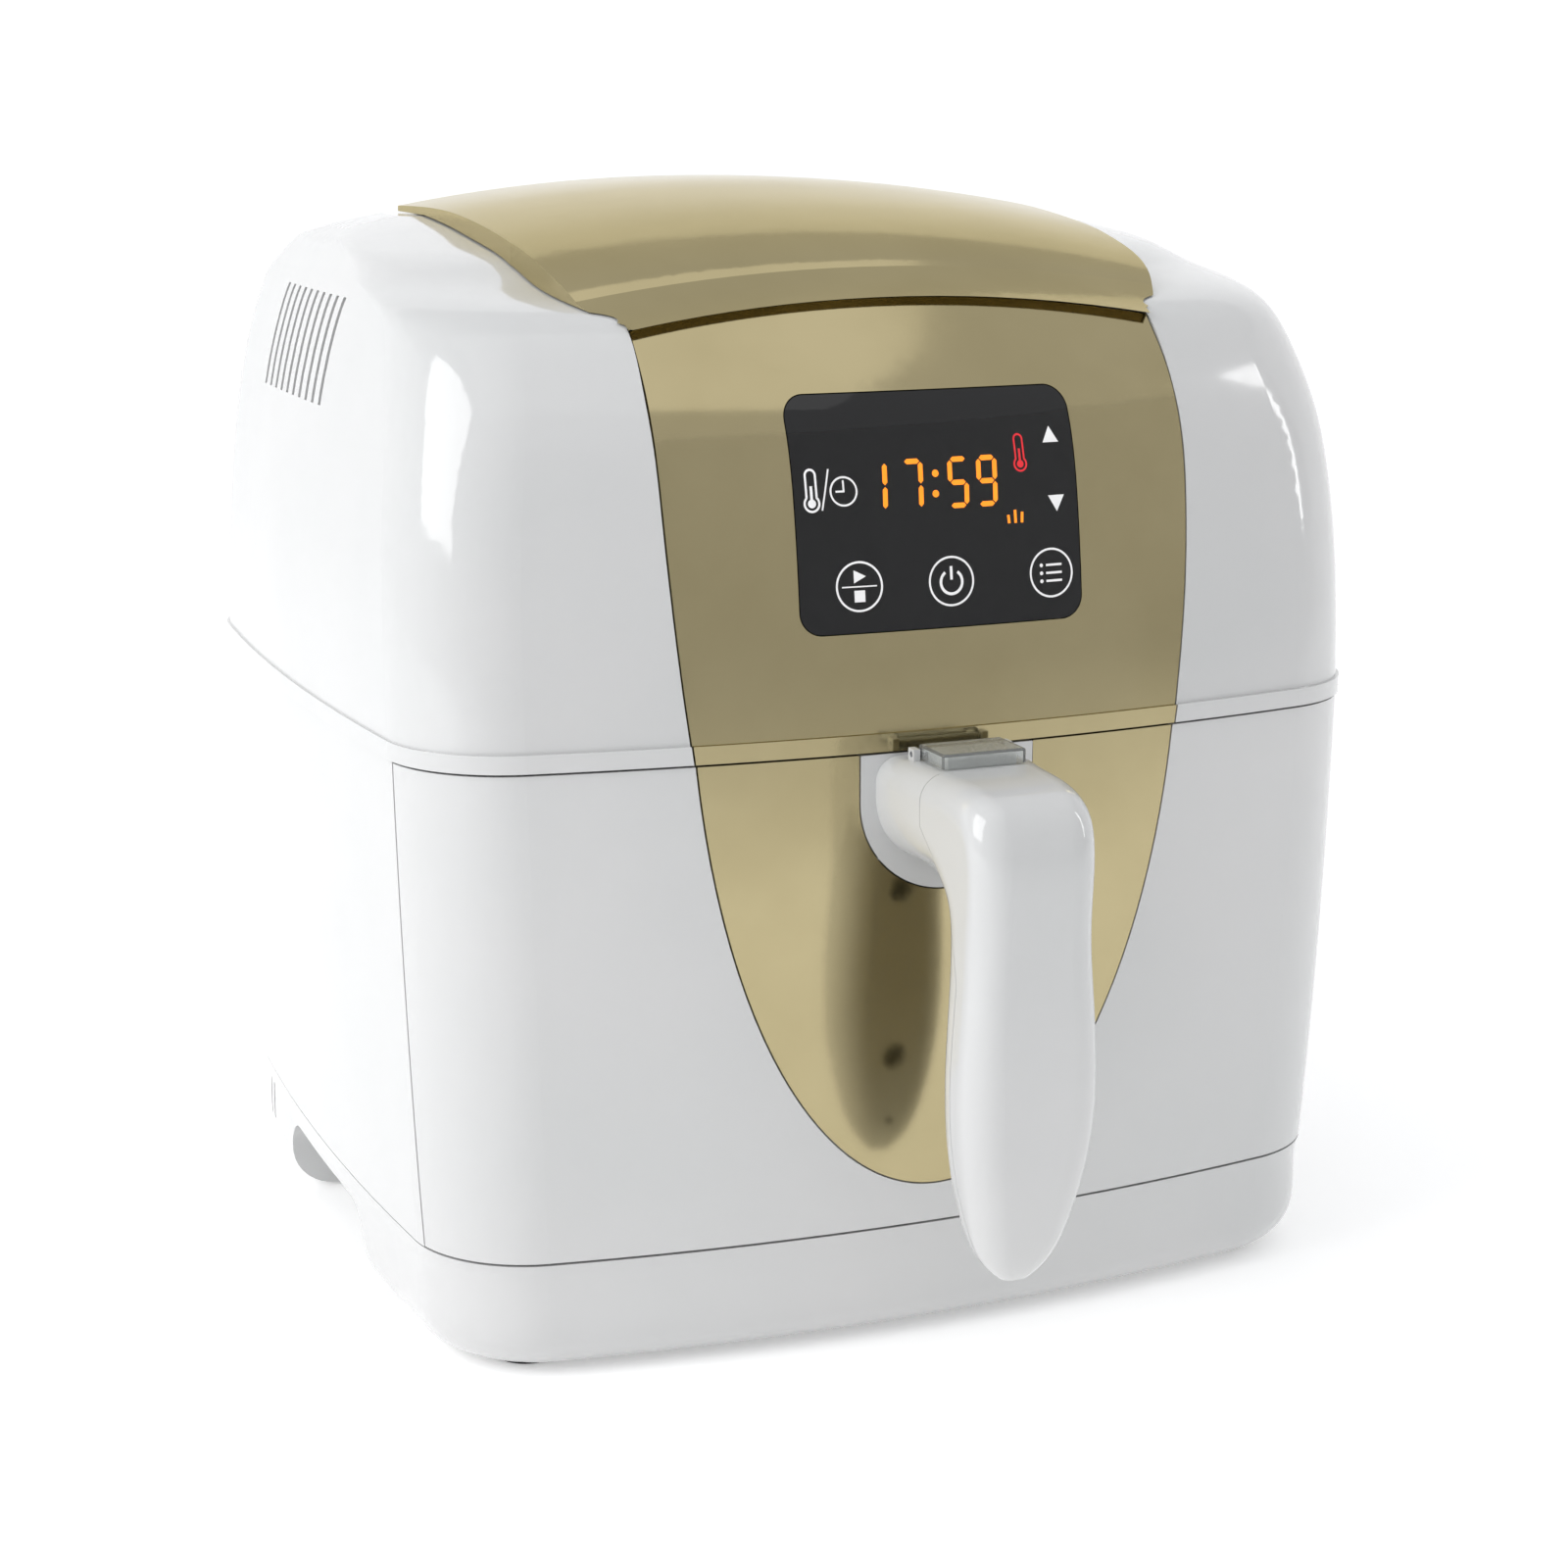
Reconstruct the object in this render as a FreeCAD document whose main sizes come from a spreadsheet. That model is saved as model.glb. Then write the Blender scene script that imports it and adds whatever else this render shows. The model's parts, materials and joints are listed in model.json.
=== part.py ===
import FreeCAD, Part
import math
import os

import Sketcher
from FreeCAD import Placement, Rotation, Vector

# Hot-air fryer with a pull-out drawer, in millimetres.
# +Z is up, the drawer front faces -Y, the right-hand side is +X.
# Pieces are drawn about the middle of the casing's depth, and each one's Placement then moves
# it back by depth_shift, so that the origin is the middle of the whole footprint, handle included.

os.makedirs("parts", exist_ok=True)
doc = FreeCAD.newDocument("HotAirFryer")

# ------------------------------------------------------------------ driving dimensions

SIZES = [
    ("body_width", 290.0, "casing width at the drawer seam"),
    ("body_depth", 271.0, "casing depth at the drawer seam"),
    ("body_height", 311.9, "floor to the crown of the top cover"),
    ("seam_height", 168.8, "floor to the top of the drawer"),
    ("base_height", 34.1, "floor to the seam above the base"),
    ("wall", 2.4, "moulded wall"),
    ("seam_gap", 0.7, "gap round the drawer front"),
    ("trim_gap", 0.5, "gap round the coloured panels"),
    ("belt_height", 5.2, "stepped belt above the drawer"),
    ("belt_step", 0.7, "how far the belt stands out"),
    ("drawer_wrap", 38.4, "how far the drawer front wraps back round the corners"),
    ("front_corner", 34.0, "front corner radius in plan"),
    ("rear_corner", 42.0, "rear corner radius in plan"),
    ("front_bow", 622.0, "radius of the bowed front"),
    ("side_bow", 1128.0, "radius of the bowed sides"),
    ("rear_bow", 1100.0, "radius of the bowed rear"),
    ("base_round", 14.8, "rounding under the base"),
    ("foot_height", 1.0, "how far the rubber feet stand out below the base"),
    ("foot_radius", 9.0, "rubber foot radius"),
    ("panel_half_width", 75.5, "half width of the front panel at its top"),
    ("panel_arch", 6.4, "rise of the front panel's top edge"),
    ("window_width", 81.5, "display window width"),
    ("window_height", 60.7, "display window height"),
    ("window_base", 200.7, "floor to the lower edge of the display window"),
    ("window_corner", 6.0, "display window corner radius"),
    ("notch_radius", 25.0, "half width and round of the handle flange"),
    ("notch_drop", 38.3, "drawer top to the bottom of the handle flange"),
    ("handle_gap", 0.4, "gap between the handle flange and its notch"),
    ("neck_half_width", 21.0, "half width of the handle neck"),
    ("neck_height", 30.0, "height of the handle neck"),
    ("grip_reach", 57.4, "drawer face to the front of the grip"),
    ("grip_depth", 25.0, "grip thickness, front to back"),
    ("grip_bottom", 35.7, "floor to the tip of the grip"),
    ("handle_wall", 2.2, "handle shell wall"),
    ("chamber_width", 237.0, "outside width of the cooking chamber"),
    ("chamber_front", 91.5, "middle of the casing to the chamber's front edge"),
    ("chamber_rear", 104.0, "middle of the casing to the chamber's rear wall"),
    ("chamber_floor", 38.0, "floor to the underside of the chamber"),
    ("chamber_top", 206.0, "floor to the top of the chamber"),
    ("sheet_wall", 0.8, "sheet steel of the chamber"),
    ("pan_gap", 5.3, "pan to chamber, each side"),
    ("pan_wall", 1.2, "pan wall"),
    ("pan_bottom", 42.0, "floor to the underside of the pan"),
    ("pan_rim", 159.0, "floor to the top of the pan"),
    ("basket_gap", 9.0, "basket to pan, each side"),
    ("basket_wall", 1.0, "basket wall"),
    ("rotor_y", 6.0, "fan axis, behind the middle of the casing"),
    ("shaft_radius", 3.0, "motor shaft radius"),
    ("shaft_clearance", 0.05, "running clearance of the shaft"),
    ("impeller_radius", 60.0, "hot-air impeller radius"),
    ("fan_radius", 46.0, "cooling fan radius"),
    ("motor_radius", 36.0, "motor can radius"),
    ("button_travel", 2.5, "release button travel"),
    ("cord_radius", 3.7, "hole for the mains cord"),
]

sheet = doc.addObject("Spreadsheet::Sheet", "Sizes")
for row, (alias, value, note) in enumerate(SIZES, start=1):
    sheet.set("A%d" % row, str(value))
    sheet.setAlias("A%d" % row, alias)
    sheet.set("B%d" % row, note)
doc.recompute()


class Size:
    """A number together with the sheet formula that gives it."""

    def __init__(self, value, text):
        self.value = value
        self.text = text

    @staticmethod
    def of(other):
        return other if isinstance(other, Size) else Size(float(other), repr(float(other)))

    def join(self, other, sign, value):
        return Size(value, "(%s %s %s)" % (self.text, sign, Size.of(other).text))

    def __add__(self, other):
        return self.join(other, "+", self.value + Size.of(other).value)

    def __sub__(self, other):
        return self.join(other, "-", self.value - Size.of(other).value)

    def __mul__(self, other):
        return self.join(other, "*", self.value * Size.of(other).value)

    def __truediv__(self, other):
        return self.join(other, "/", self.value / Size.of(other).value)

    def __radd__(self, other):
        return Size.of(other) + self

    def __rsub__(self, other):
        return Size.of(other) - self

    def __neg__(self):
        return Size(-self.value, "(-%s)" % self.text)


def cell(name):
    return Size(float(sheet.get(name)), "Sizes." + name)


def num(name):
    return cell(name).value


half_width = cell("body_width") / 2
half_depth = cell("body_depth") / 2
seam = cell("seam_height")
wall = num("wall")
shell_top = num("body_height") - 10.7
drawer_edge = -(num("body_depth") / 2 - num("drawer_wrap"))
flange_face = -half_depth
grip_front = flange_face - cell("grip_reach")
depth_shift = (-grip_front - half_depth - cell("belt_step")) / 2
neck_top = seam - 0.8
neck_mid = neck_top - cell("neck_height") / 2

nodes = []


def place(obj, label, x=0.0, y=0.0, z=0.0, rotation=Rotation()):
    """Give a sub-part its name and its place in the shared frame."""
    obj.Label = label
    y = Size.of(y) + depth_shift
    obj.Placement = Placement(Vector(Size.of(x).value, y.value, Size.of(z).value), rotation)
    for axis, size in (("x", x), ("y", y), ("z", z)):
        if isinstance(size, Size):
            obj.setExpression("Placement.Base." + axis, size.text)
    nodes.append(obj)
    return obj


def bind(obj, prop, size):
    setattr(obj, prop, Size.of(size).value)
    if isinstance(size, Size):
        obj.setExpression(prop, size.text)


# ------------------------------------------------------------------ sketched pieces


def new_body(name):
    return doc.addObject("PartDesign::Body", name)


def new_sketch(body, role, lift=0.0):
    """A sketch on one of the body's own origin planes, lifted along the plane's normal."""
    sketch = body.newObject("Sketcher::SketchObject", body.Name + "_sketch")
    plane = [f for f in body.Origin.OriginFeatures if f.Role == role][0]
    sketch.AttachmentSupport = [(plane, "")]
    sketch.MapMode = "FlatFace"
    sketch.AttachmentOffset = Placement(Vector(0, 0, Size.of(lift).value), Rotation())
    if isinstance(lift, Size):
        sketch.setExpression("AttachmentOffset.Base.z", lift.text)
    return sketch


def fix_point(sketch, geometry, point, x, y):
    """Hold one point of the sketch at a place given by sizes."""
    for kind, size in (("DistanceX", x), ("DistanceY", y)):
        size = Size.of(size)
        key = sketch.addConstraint(Sketcher.Constraint(kind, -1, 1, geometry, point, size.value))
        name = "%s%d" % (kind, key)
        sketch.renameConstraint(key, name)
        sketch.setExpression(".Constraints." + name, size.text)


def polygon(sketch, points):
    first = sketch.GeometryCount
    count = len(points)
    flat = [Vector(Size.of(x).value, Size.of(y).value, 0) for x, y in points]
    for i in range(count):
        sketch.addGeometry(Part.LineSegment(flat[i], flat[(i + 1) % count]), False)
    for i in range(count):
        join = (first + i, 2, first + (i + 1) % count, 1)
        sketch.addConstraint(Sketcher.Constraint("Coincident", *join))
        fix_point(sketch, first + i, 1, *points[i])


def rectangle(sketch, x0, y0, x1, y1):
    polygon(sketch, [(x0, y0), (x1, y0), (x1, y1), (x0, y1)])


def circle(sketch, x, y, radius):
    radius = Size.of(radius)
    centre = Vector(Size.of(x).value, Size.of(y).value, 0)
    index = sketch.addGeometry(Part.Circle(centre, Vector(0, 0, 1), radius.value), False)
    key = sketch.addConstraint(Sketcher.Constraint("Radius", index, radius.value))
    sketch.renameConstraint(key, "Radius%d" % key)
    sketch.setExpression(".Constraints.Radius%d" % key, radius.text)
    fix_point(sketch, index, 3, x, y)


def pad(body, sketch, length):
    feature = body.newObject("PartDesign::Pad", body.Name + "_pad")
    feature.Profile = sketch
    bind(feature, "Length", length)
    return feature


def revolve(body, sketch):
    feature = body.newObject("PartDesign::Revolution", body.Name + "_turned")
    feature.Profile = sketch
    feature.ReferenceAxis = (sketch, ["V_Axis"])
    feature.Angle = 360.0
    return feature


def plate(name, x0, x1, y0, y1, z0, thickness, holes=(), windows=()):
    """A flat plate, padded up from z0, with round holes and rectangular windows."""
    body = new_body(name)
    sketch = new_sketch(body, "XY_Plane", z0)
    rectangle(sketch, x0, y0, x1, y1)
    for x, y, radius in holes:
        circle(sketch, x, y, radius)
    for window in windows:
        rectangle(sketch, *window)
    pad(body, sketch, thickness)
    return body


def turned(name, profile):
    """A turned piece about Z from a closed (radius, height) outline."""
    body = new_body(name)
    sketch = new_sketch(body, "XZ_Plane")
    polygon(sketch, profile)
    revolve(body, sketch)
    return body


def standing_plate(name, x0, x1, z0, z1, y_front, thickness, holes=()):
    """A plate that stands across the object, its front face at y_front."""
    body = new_body(name)
    sketch = new_sketch(body, "XZ_Plane", -(Size.of(y_front) + thickness))
    rectangle(sketch, x0, z0, x1, z1)
    for x, z, radius in holes:
        circle(sketch, x, z, radius)
    pad(body, sketch, thickness)
    return body


# ------------------------------------------------------------------ free-form pieces


def add_shape(label, shape):
    """Put a shape that was worked out in code into the document as a sub-part."""
    if shape.ShapeType == "Compound" and len(shape.Solids) == 1:
        shape = shape.Solids[0]
    obj = doc.addObject("Part::Feature", label)
    obj.Shape = shape
    return place(obj, label)


def box(x0, x1, y0, y1, z0, z1):
    return Part.makeBox(x1 - x0, y1 - y0, z1 - z0, Vector(x0, y0, z0))


def cylinder(radius, base, direction, length):
    return Part.makeCylinder(radius, length, base, direction)


def arc(start, middle, end):
    return Part.Arc(start, middle, end).toShape()


def line(start, end):
    return Part.LineSegment(start, end).toShape()


def bend(centre, start, end):
    """One arc of a section, as its two ends, the pole between them and that pole's weight."""
    out = (start - centre + end - centre).normalize()
    radius = (start - centre).Length
    share = (start - centre).dot(out) / radius
    return start, centre + out * (radius / share), end, share


def straight(start, end):
    return start, (start + end) * 0.5, end, 1.0


def section_wire(section):
    """The closed wire of one section."""
    edges = []
    for start, pole, end, weight in section:
        if weight > 0.999999:
            edges.append(line(start, end))
        else:
            middle = (start + pole * (2 * weight) + end) * (1 / (2 + 2 * weight))
            edges.append(arc(start, middle, end))
    return Part.Wire(edges)


def through(points, steps):
    """A spline curve that passes through the points."""
    curve = Part.BSplineCurve()
    curve.interpolate(Points=points, Parameters=steps)
    return curve


def skin(sections):
    """Solid with smooth sides through closed sections that all have the same number of edges."""
    steps = [0.0]
    for low, high in zip(sections, sections[1:]):
        moves = [(b[0] - a[0]).Length for a, b in zip(low, high)]
        steps.append(steps[-1] + math.sqrt(sum(m * m for m in moves) / len(moves)))
    faces = [Part.Face(section_wire(sections[0])), Part.Face(section_wire(sections[-1]))]
    for k in range(len(sections[0])):
        rows = []
        weights = []
        for j in range(3):
            share = [s[k][3] if j == 1 else 1.0 for s in sections]
            raised = [s[k][j] * w for s, w in zip(sections, share)]
            guide = through(raised, steps)
            heavy = [share[0]] * guide.NbPoles
            if max(share) - min(share) > 1e-9:
                heavy = [p.x for p in through([Vector(w, i, 0) for i, w in enumerate(share)], steps).getPoles()]
            rows.append([p * (1 / w) for p, w in zip(guide.getPoles(), heavy)])
            weights.append(heavy)
        surface = Part.BSplineSurface()
        surface.buildFromPolesMultsKnots(rows, [3, 3], guide.getMultiplicities(), [0.0, 1.0],
                                         guide.getKnots(), False, False, 2, guide.Degree, weights)
        faces.append(surface.toShape())
    shell = Part.makeShell(faces)
    shell.sewShape()
    solid = Part.Solid(shell)
    if solid.Volume < 0:
        solid.reverse()
    return solid


def circles_meet(c1, r1, c2, r2, towards):
    """The meeting point of two circles that is nearest a given point."""
    span = c2.sub(c1)
    d = span.Length
    along = (d * d + r1 * r1 - r2 * r2) / (2 * d)
    side = math.sqrt(max(r1 * r1 - along * along, 0.0))
    unit = Vector(span).normalize()
    normal = Vector(-unit.y, unit.x, 0)
    options = [c1 + unit * along + normal * side, c1 + unit * along - normal * side]
    return min(options, key=lambda p: p.sub(towards).Length)


def plan_section(z, side, front, rear, front_corner, rear_corner, inset=0.0):
    """Bowed rectangle with round corners: eight arcs, all tangent, moved in by inset."""
    side, front, rear = side - inset, front - inset, rear - inset
    lift = Vector(0, 0, z)
    side_bow = num("side_bow") - inset
    side_centre = Vector(side - side_bow, 0, 0)
    centres = []
    corners = []
    for bow, sign, reach, corner in (
        (num("front_bow") - inset, -1, front, front_corner),
        (num("rear_bow") - inset, 1, rear, rear_corner),
    ):
        corner = max(corner - inset, 2.0)
        bow_centre = Vector(0, sign * (reach - bow), 0)
        centre = circles_meet(bow_centre, bow - corner, side_centre, side_bow - corner,
                              Vector(side, sign * reach, 0))
        on_bow = centre + (centre - bow_centre).normalize() * corner
        on_side = centre + (centre - side_centre).normalize() * corner
        centres.append(bow_centre)
        corners.append((centre, on_bow, on_side))

    def flip(point):
        return Vector(-point.x, point.y, point.z)

    front_centre, front_start, front_end = corners[0]
    rear_centre, rear_end, rear_start = corners[1]
    right = [
        (front_centre, front_start, front_end),
        (side_centre, front_end, rear_start),
        (rear_centre, rear_start, rear_end),
    ]
    arcs = [(centres[0], flip(front_start), front_start)] + right
    arcs += [(centres[1], rear_end, flip(rear_end))]
    arcs += [(flip(c), flip(b), flip(a)) for c, a, b in reversed(right)]
    return [bend(c + lift, a + lift, b + lift) for c, a, b in arcs]


def form(levels, inset=0.0):
    """A smooth solid through plan outlines at rising levels."""
    return skin([plan_section(*level, inset=inset) for level in levels])


# How far the casing has drawn in at each share of the dome's height:
# share, sides, front, rear, front corner radius, rear corner radius.
DOME = [
    (0.000, 0.0, 0.0, 0.2, 34.0, 42.0),
    (0.273, 0.4, 2.5, 4.1, 34.0, 44.0),
    (0.462, 2.1, 5.9, 6.8, 34.0, 45.0),
    (0.613, 5.0, 10.9, 9.0, 34.0, 44.0),
    (0.727, 8.2, 19.2, 11.1, 34.0, 42.0),
    (0.825, 12.1, 30.9, 14.6, 34.0, 40.0),
    (0.863, 14.2, 44.5, 16.6, 34.0, 38.0),
    (0.900, 17.4, 71.0, 20.1, 34.0, 36.0),
    (0.931, 20.1, 87.0, 27.6, 33.0, 34.0),
    (0.961, 24.2, 114.5, 37.6, 31.0, 31.0),
    (0.983, 33.0, 140.3, 47.6, 26.0, 26.0),
    (1.000, 47.0, 168.0, 57.6, 11.0, 11.0),
]


def dome_levels(inset):
    """Outlines of the upper casing; an inner form is also lowered where the dome flattens."""
    levels = []
    dome_height = shell_top - seam.value
    for share, sides, front, rear, front_corner, rear_corner in DOME:
        lowered = inset * min(max((share - 0.6) / 0.3, 0.0), 1.0)
        levels.append((
            seam.value + share * dome_height - lowered,
            half_width.value - sides,
            half_depth.value - front,
            half_depth.value - rear,
            front_corner + num("front_corner") - 34.0,
            rear_corner + num("rear_corner") - 42.0,
        ))
    return levels


def upper_form(inset=0.0):
    return form(dome_levels(inset), inset)


def panel_form(inset=0.0):
    """The front of the upper casing, carried straight on above the shoulders."""
    levels = [level for level in dome_levels(inset)[:6]]
    top = list(levels[-1])
    top[0] += 14.0
    top[2] -= 14.0
    levels.append(tuple(top))
    return form(levels, inset)


def lower_levels():
    low = num("base_height")
    high = seam.value
    mid = (low + high) / 2
    w = half_width.value
    d = half_depth.value
    return [
        (low, w - 4.6, d - 4.1, d - 15.5, num("front_corner"), num("rear_corner") - 6.0),
        (mid, w - 1.8, d - 0.7, d - 7.0, num("front_corner"), num("rear_corner") - 3.0),
        (high, w, d, d - 0.2, num("front_corner"), num("rear_corner")),
    ]


def lower_form(inset=0.0):
    return form(lower_levels(), inset)


def base_form(inset=0.0):
    """Drafted base with a quarter-round lower edge."""
    low = num("foot_height")
    radius = num("base_round")
    top = lower_levels()[0]
    draft = 0.06 * (num("base_height") - low - radius)
    levels = []
    for step in range(5):
        angle = math.radians(90.0 * step / 4)
        draw_in = draft + radius * (1 - math.sin(angle))
        lift = low + radius * (1 - math.cos(angle))
        corner = 0.6 * draw_in
        levels.append((lift, top[1] - draw_in, top[2] - draw_in, top[3] - draw_in,
                       top[4] - corner, top[5] - corner))
    levels.append(top)
    raised = [(z + (inset if z < low + radius else 0.0),) + tuple(rest) for z, *rest in levels]
    return form(raised, inset)


def slab(z0, z1):
    return box(-400, 400, -400, 400, z0, z1)


def belt(inset=0.0):
    """The stepped belt round the bottom of the upper casing."""
    bottom = dome_levels(0.0)[0]
    wire = section_wire(plan_section(*bottom, inset=inset - num("belt_step")))
    wire.translate(Vector(0, 0, num("seam_gap") / 2))
    height = num("belt_height") - num("seam_gap") / 2
    return Part.Face(wire).extrude(Vector(0, 0, height))


def front_prism(wire, y0=-300.0, y1=-20.0):
    """Run an outline drawn at y = 0 along Y, between two depths."""
    wire = wire.copy()
    wire.translate(Vector(0, y0, 0))
    return Part.Face(wire).extrude(Vector(0, y1 - y0, 0))


def panel_outline(grow=0.0):
    """Outline of the upper front panel, drawn at y = 0."""
    z0 = seam.value - 20.0
    z1 = shell_top - 23.4 + grow
    half = num("panel_half_width") + grow
    foot = half - 5.5
    waist = half - 0.3
    wire = [
        arc(Vector(-foot, 0, seam.value), Vector(-waist, 0, (seam.value + z1) / 2), Vector(-half, 0, z1)),
        arc(Vector(-half, 0, z1), Vector(0, 0, z1 + num("panel_arch")), Vector(half, 0, z1)),
        arc(Vector(half, 0, z1), Vector(waist, 0, (seam.value + z1) / 2), Vector(foot, 0, seam.value)),
        line(Vector(foot, 0, seam.value), Vector(foot, 0, z0)),
        line(Vector(foot, 0, z0), Vector(-foot, 0, z0)),
        line(Vector(-foot, 0, z0), Vector(-foot, 0, seam.value)),
    ]
    return Part.Wire(wire)


def trim_outline(grow=0.0):
    """The drawer's coloured panel is the lower end of a tall ellipse."""
    centre = Vector(0, 0, seam.value + 31.2)
    drop = centre.z - (num("base_height") + 11.9) + grow
    half = num("panel_half_width") - 4.5 + grow
    ellipse = Part.Ellipse(centre + Vector(0, 0, drop), centre + Vector(half, 0, 0), centre)
    return Part.Wire([ellipse.toShape()])


def rounded_rectangle(x0, x1, z0, z1, radius):
    """A rectangle with round corners in the XZ plane."""
    wire = Part.makePolygon([Vector(x0, 0, z0), Vector(x1, 0, z0), Vector(x1, 0, z1),
                             Vector(x0, 0, z1), Vector(x0, 0, z0)])
    block = Part.Face(wire).extrude(Vector(0, 1, 0))
    upright = [e for e in block.Edges if abs(e.BoundBox.YLength - 1) < 0.01]
    block = block.makeFillet(radius, upright)
    face = min(block.Faces, key=lambda f: f.CenterOfMass.y)
    return face.OuterWire


def notch_outline(grow=0.0):
    """Open-topped U that takes the handle flange, drawn at y = 0."""
    radius = num("notch_radius") + grow
    centre_z = seam.value - num("notch_drop") + num("notch_radius")
    top = seam.value + 40.0
    left = Vector(-radius, 0, centre_z)
    right = Vector(radius, 0, centre_z)
    corners = [Vector(radius, 0, top), Vector(-radius, 0, top)]
    edges = [
        arc(left, Vector(0, 0, centre_z - radius), right),
        line(right, corners[0]),
        line(corners[0], corners[1]),
        line(corners[1], left),
    ]
    return Part.Wire(edges)


# ------------------------------------------------------------------ upper casing

HOUSING_POSTS = [(sx * 124.0, y) for sx in (-1, 1) for y in (-72.0, 92.0)]
POST_RADIUS = 5.0
SCREW_RADIUS = 1.8

upper_low = seam.value + num("seam_gap") / 2
upper_outer = upper_form()
upper_shell = upper_outer.fuse(belt()).cut(upper_form(wall)).cut(belt(wall + num("belt_step")))
upper_shell = upper_shell.common(slab(upper_low, shell_top + 5))
panel_skin = panel_form().fuse(belt()).cut(panel_form(wall)).cut(belt(wall + num("belt_step")))
panel_skin = panel_skin.common(box(-400, 400, -400, -20, upper_low, shell_top))

WINDOW_TOP = num("window_base") + num("window_height")


def window_outline(grow=0.0):
    half = num("window_width") / 2 + grow
    low = num("window_base") - grow
    return rounded_rectangle(-half, half, low, WINDOW_TOP + grow, num("window_corner") + grow)


GRILLE_HALF = 42.0
GRILLE_LOW = seam.value + 9.0
GRILLE_HIGH = seam.value + 37.0


def grille_prism(grow=0.0):
    wire = rounded_rectangle(-GRILLE_HALF - grow, GRILLE_HALF + grow, GRILLE_LOW - grow,
                             GRILLE_HIGH + grow, 4.0 + grow)
    return front_prism(wire, 60.0, 300.0)


def side_vents():
    """Ten upright slits high in each shoulder."""
    count = 10
    pitch = 7.3
    first = 9.0 - pitch * (count - 1) / 2
    low = seam.value + 85.0
    slits = []
    for sx in (-1, 1):
        for i in range(count):
            y = first + i * pitch
            x0 = sx * (half_width.value - 35.0)
            x1 = sx * (half_width.value + 5.0)
            slits.append(box(min(x0, x1), max(x0, x1), y - 1.3, y + 1.3, low, low + 29.0))
    return Part.makeCompound(slits)


def upper_housing():
    """Moulded upper casing with a seat for the front panel, air slots and four screw posts."""
    prism = front_prism(panel_outline(num("trim_gap")))
    frame = front_prism(panel_outline(5.0)).cut(front_prism(panel_outline(-5.0)))
    ledge = upper_form(wall * 0.5).cut(upper_form(2 * wall + 0.2)).common(frame)
    ledge = ledge.common(slab(upper_low + num("belt_height"), shell_top))
    seat = prism.cut(panel_form(wall + 0.2))
    shell = upper_shell.cut(prism).fuse(ledge.cut(seat))
    shell = shell.cut(side_vents()).cut(grille_prism(0.4))
    inside = upper_form(wall * 0.5)
    posts = []
    bores = []
    for x, y in HOUSING_POSTS:
        post = cylinder(POST_RADIUS, Vector(x, y, upper_low), Vector(0, 0, 1), 46.0)
        rib = box(min(x, x * 1.2), max(x, x * 1.2), y - 1, y + 1, upper_low, upper_low + 46.0)
        posts += [post.common(inside), rib.common(inside)]
        bores.append(cylinder(SCREW_RADIUS, Vector(x, y, upper_low - 1), Vector(0, 0, 1), 14.0))
    shell = shell.fuse(posts).cut(Part.makeCompound(bores))
    return max(shell.Solids, key=lambda s: s.Volume)


add_shape("upper_housing", upper_housing())


def front_panel():
    """Coloured panel over the upper front, with the opening for the display window."""
    shape = panel_skin.common(front_prism(panel_outline()))
    shape = shape.cut(front_prism(window_outline(0.3)))
    return max(shape.Solids, key=lambda s: s.Volume)


add_shape("front_panel", front_panel())
add_shape("display_window", panel_skin.common(front_prism(window_outline())))


def rear_grille():
    """Air outlet insert that follows the rear wall, with level slots."""
    shape = upper_shell.common(grille_prism())
    slots = []
    for i in range(4):
        z = GRILLE_LOW + 4.5 + i * 5.5
        slots.append(box(-GRILLE_HALF + 6, GRILLE_HALF - 6, 60, 300, z, z + 2.6))
    return shape.cut(Part.makeCompound(slots))


add_shape("rear_grille", rear_grille())

# ------------------------------------------------------------------ top cover

COVER_HALF = 90.0
COVER_CROWN = 8.0
COVER_REAR = 68.0
# Fall of the cover's middle line below its crown, from rear to front: (y, fall).
COVER_MAIN = [(68, 0.7), (40, 0.0), (10, 0.4), (-20, 2.8), (-42, 5.6), (-60, 9.2), (-70, 12.0),
              (-78, 15.1), (-82.5, 17.5), (-86, 20.2)]
COVER_LIP = [(-86, 20.2), (-93, 24.2), (-104, 28.3)]


def cover_solid(stations, lower=0.0):
    """Solid under an arched surface that runs through the stations."""
    reach = 100.0
    edge_fall = COVER_CROWN * (reach / COVER_HALF) ** 2
    crown_radius = (reach ** 2 + edge_fall ** 2) / (2 * edge_fall)
    low = shell_top - 50.0
    sections = []
    for y, fall in stations:
        z = num("body_height") - fall - lower
        left = Vector(-reach, y, z - edge_fall)
        right = Vector(reach, y, z - edge_fall)
        sections.append([
            bend(Vector(0, y, z - crown_radius), left, right),
            straight(right, Vector(reach, y, low)),
            straight(Vector(reach, y, low), Vector(-reach, y, low)),
            straight(Vector(-reach, y, low), left),
        ])
    return skin(sections)


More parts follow.
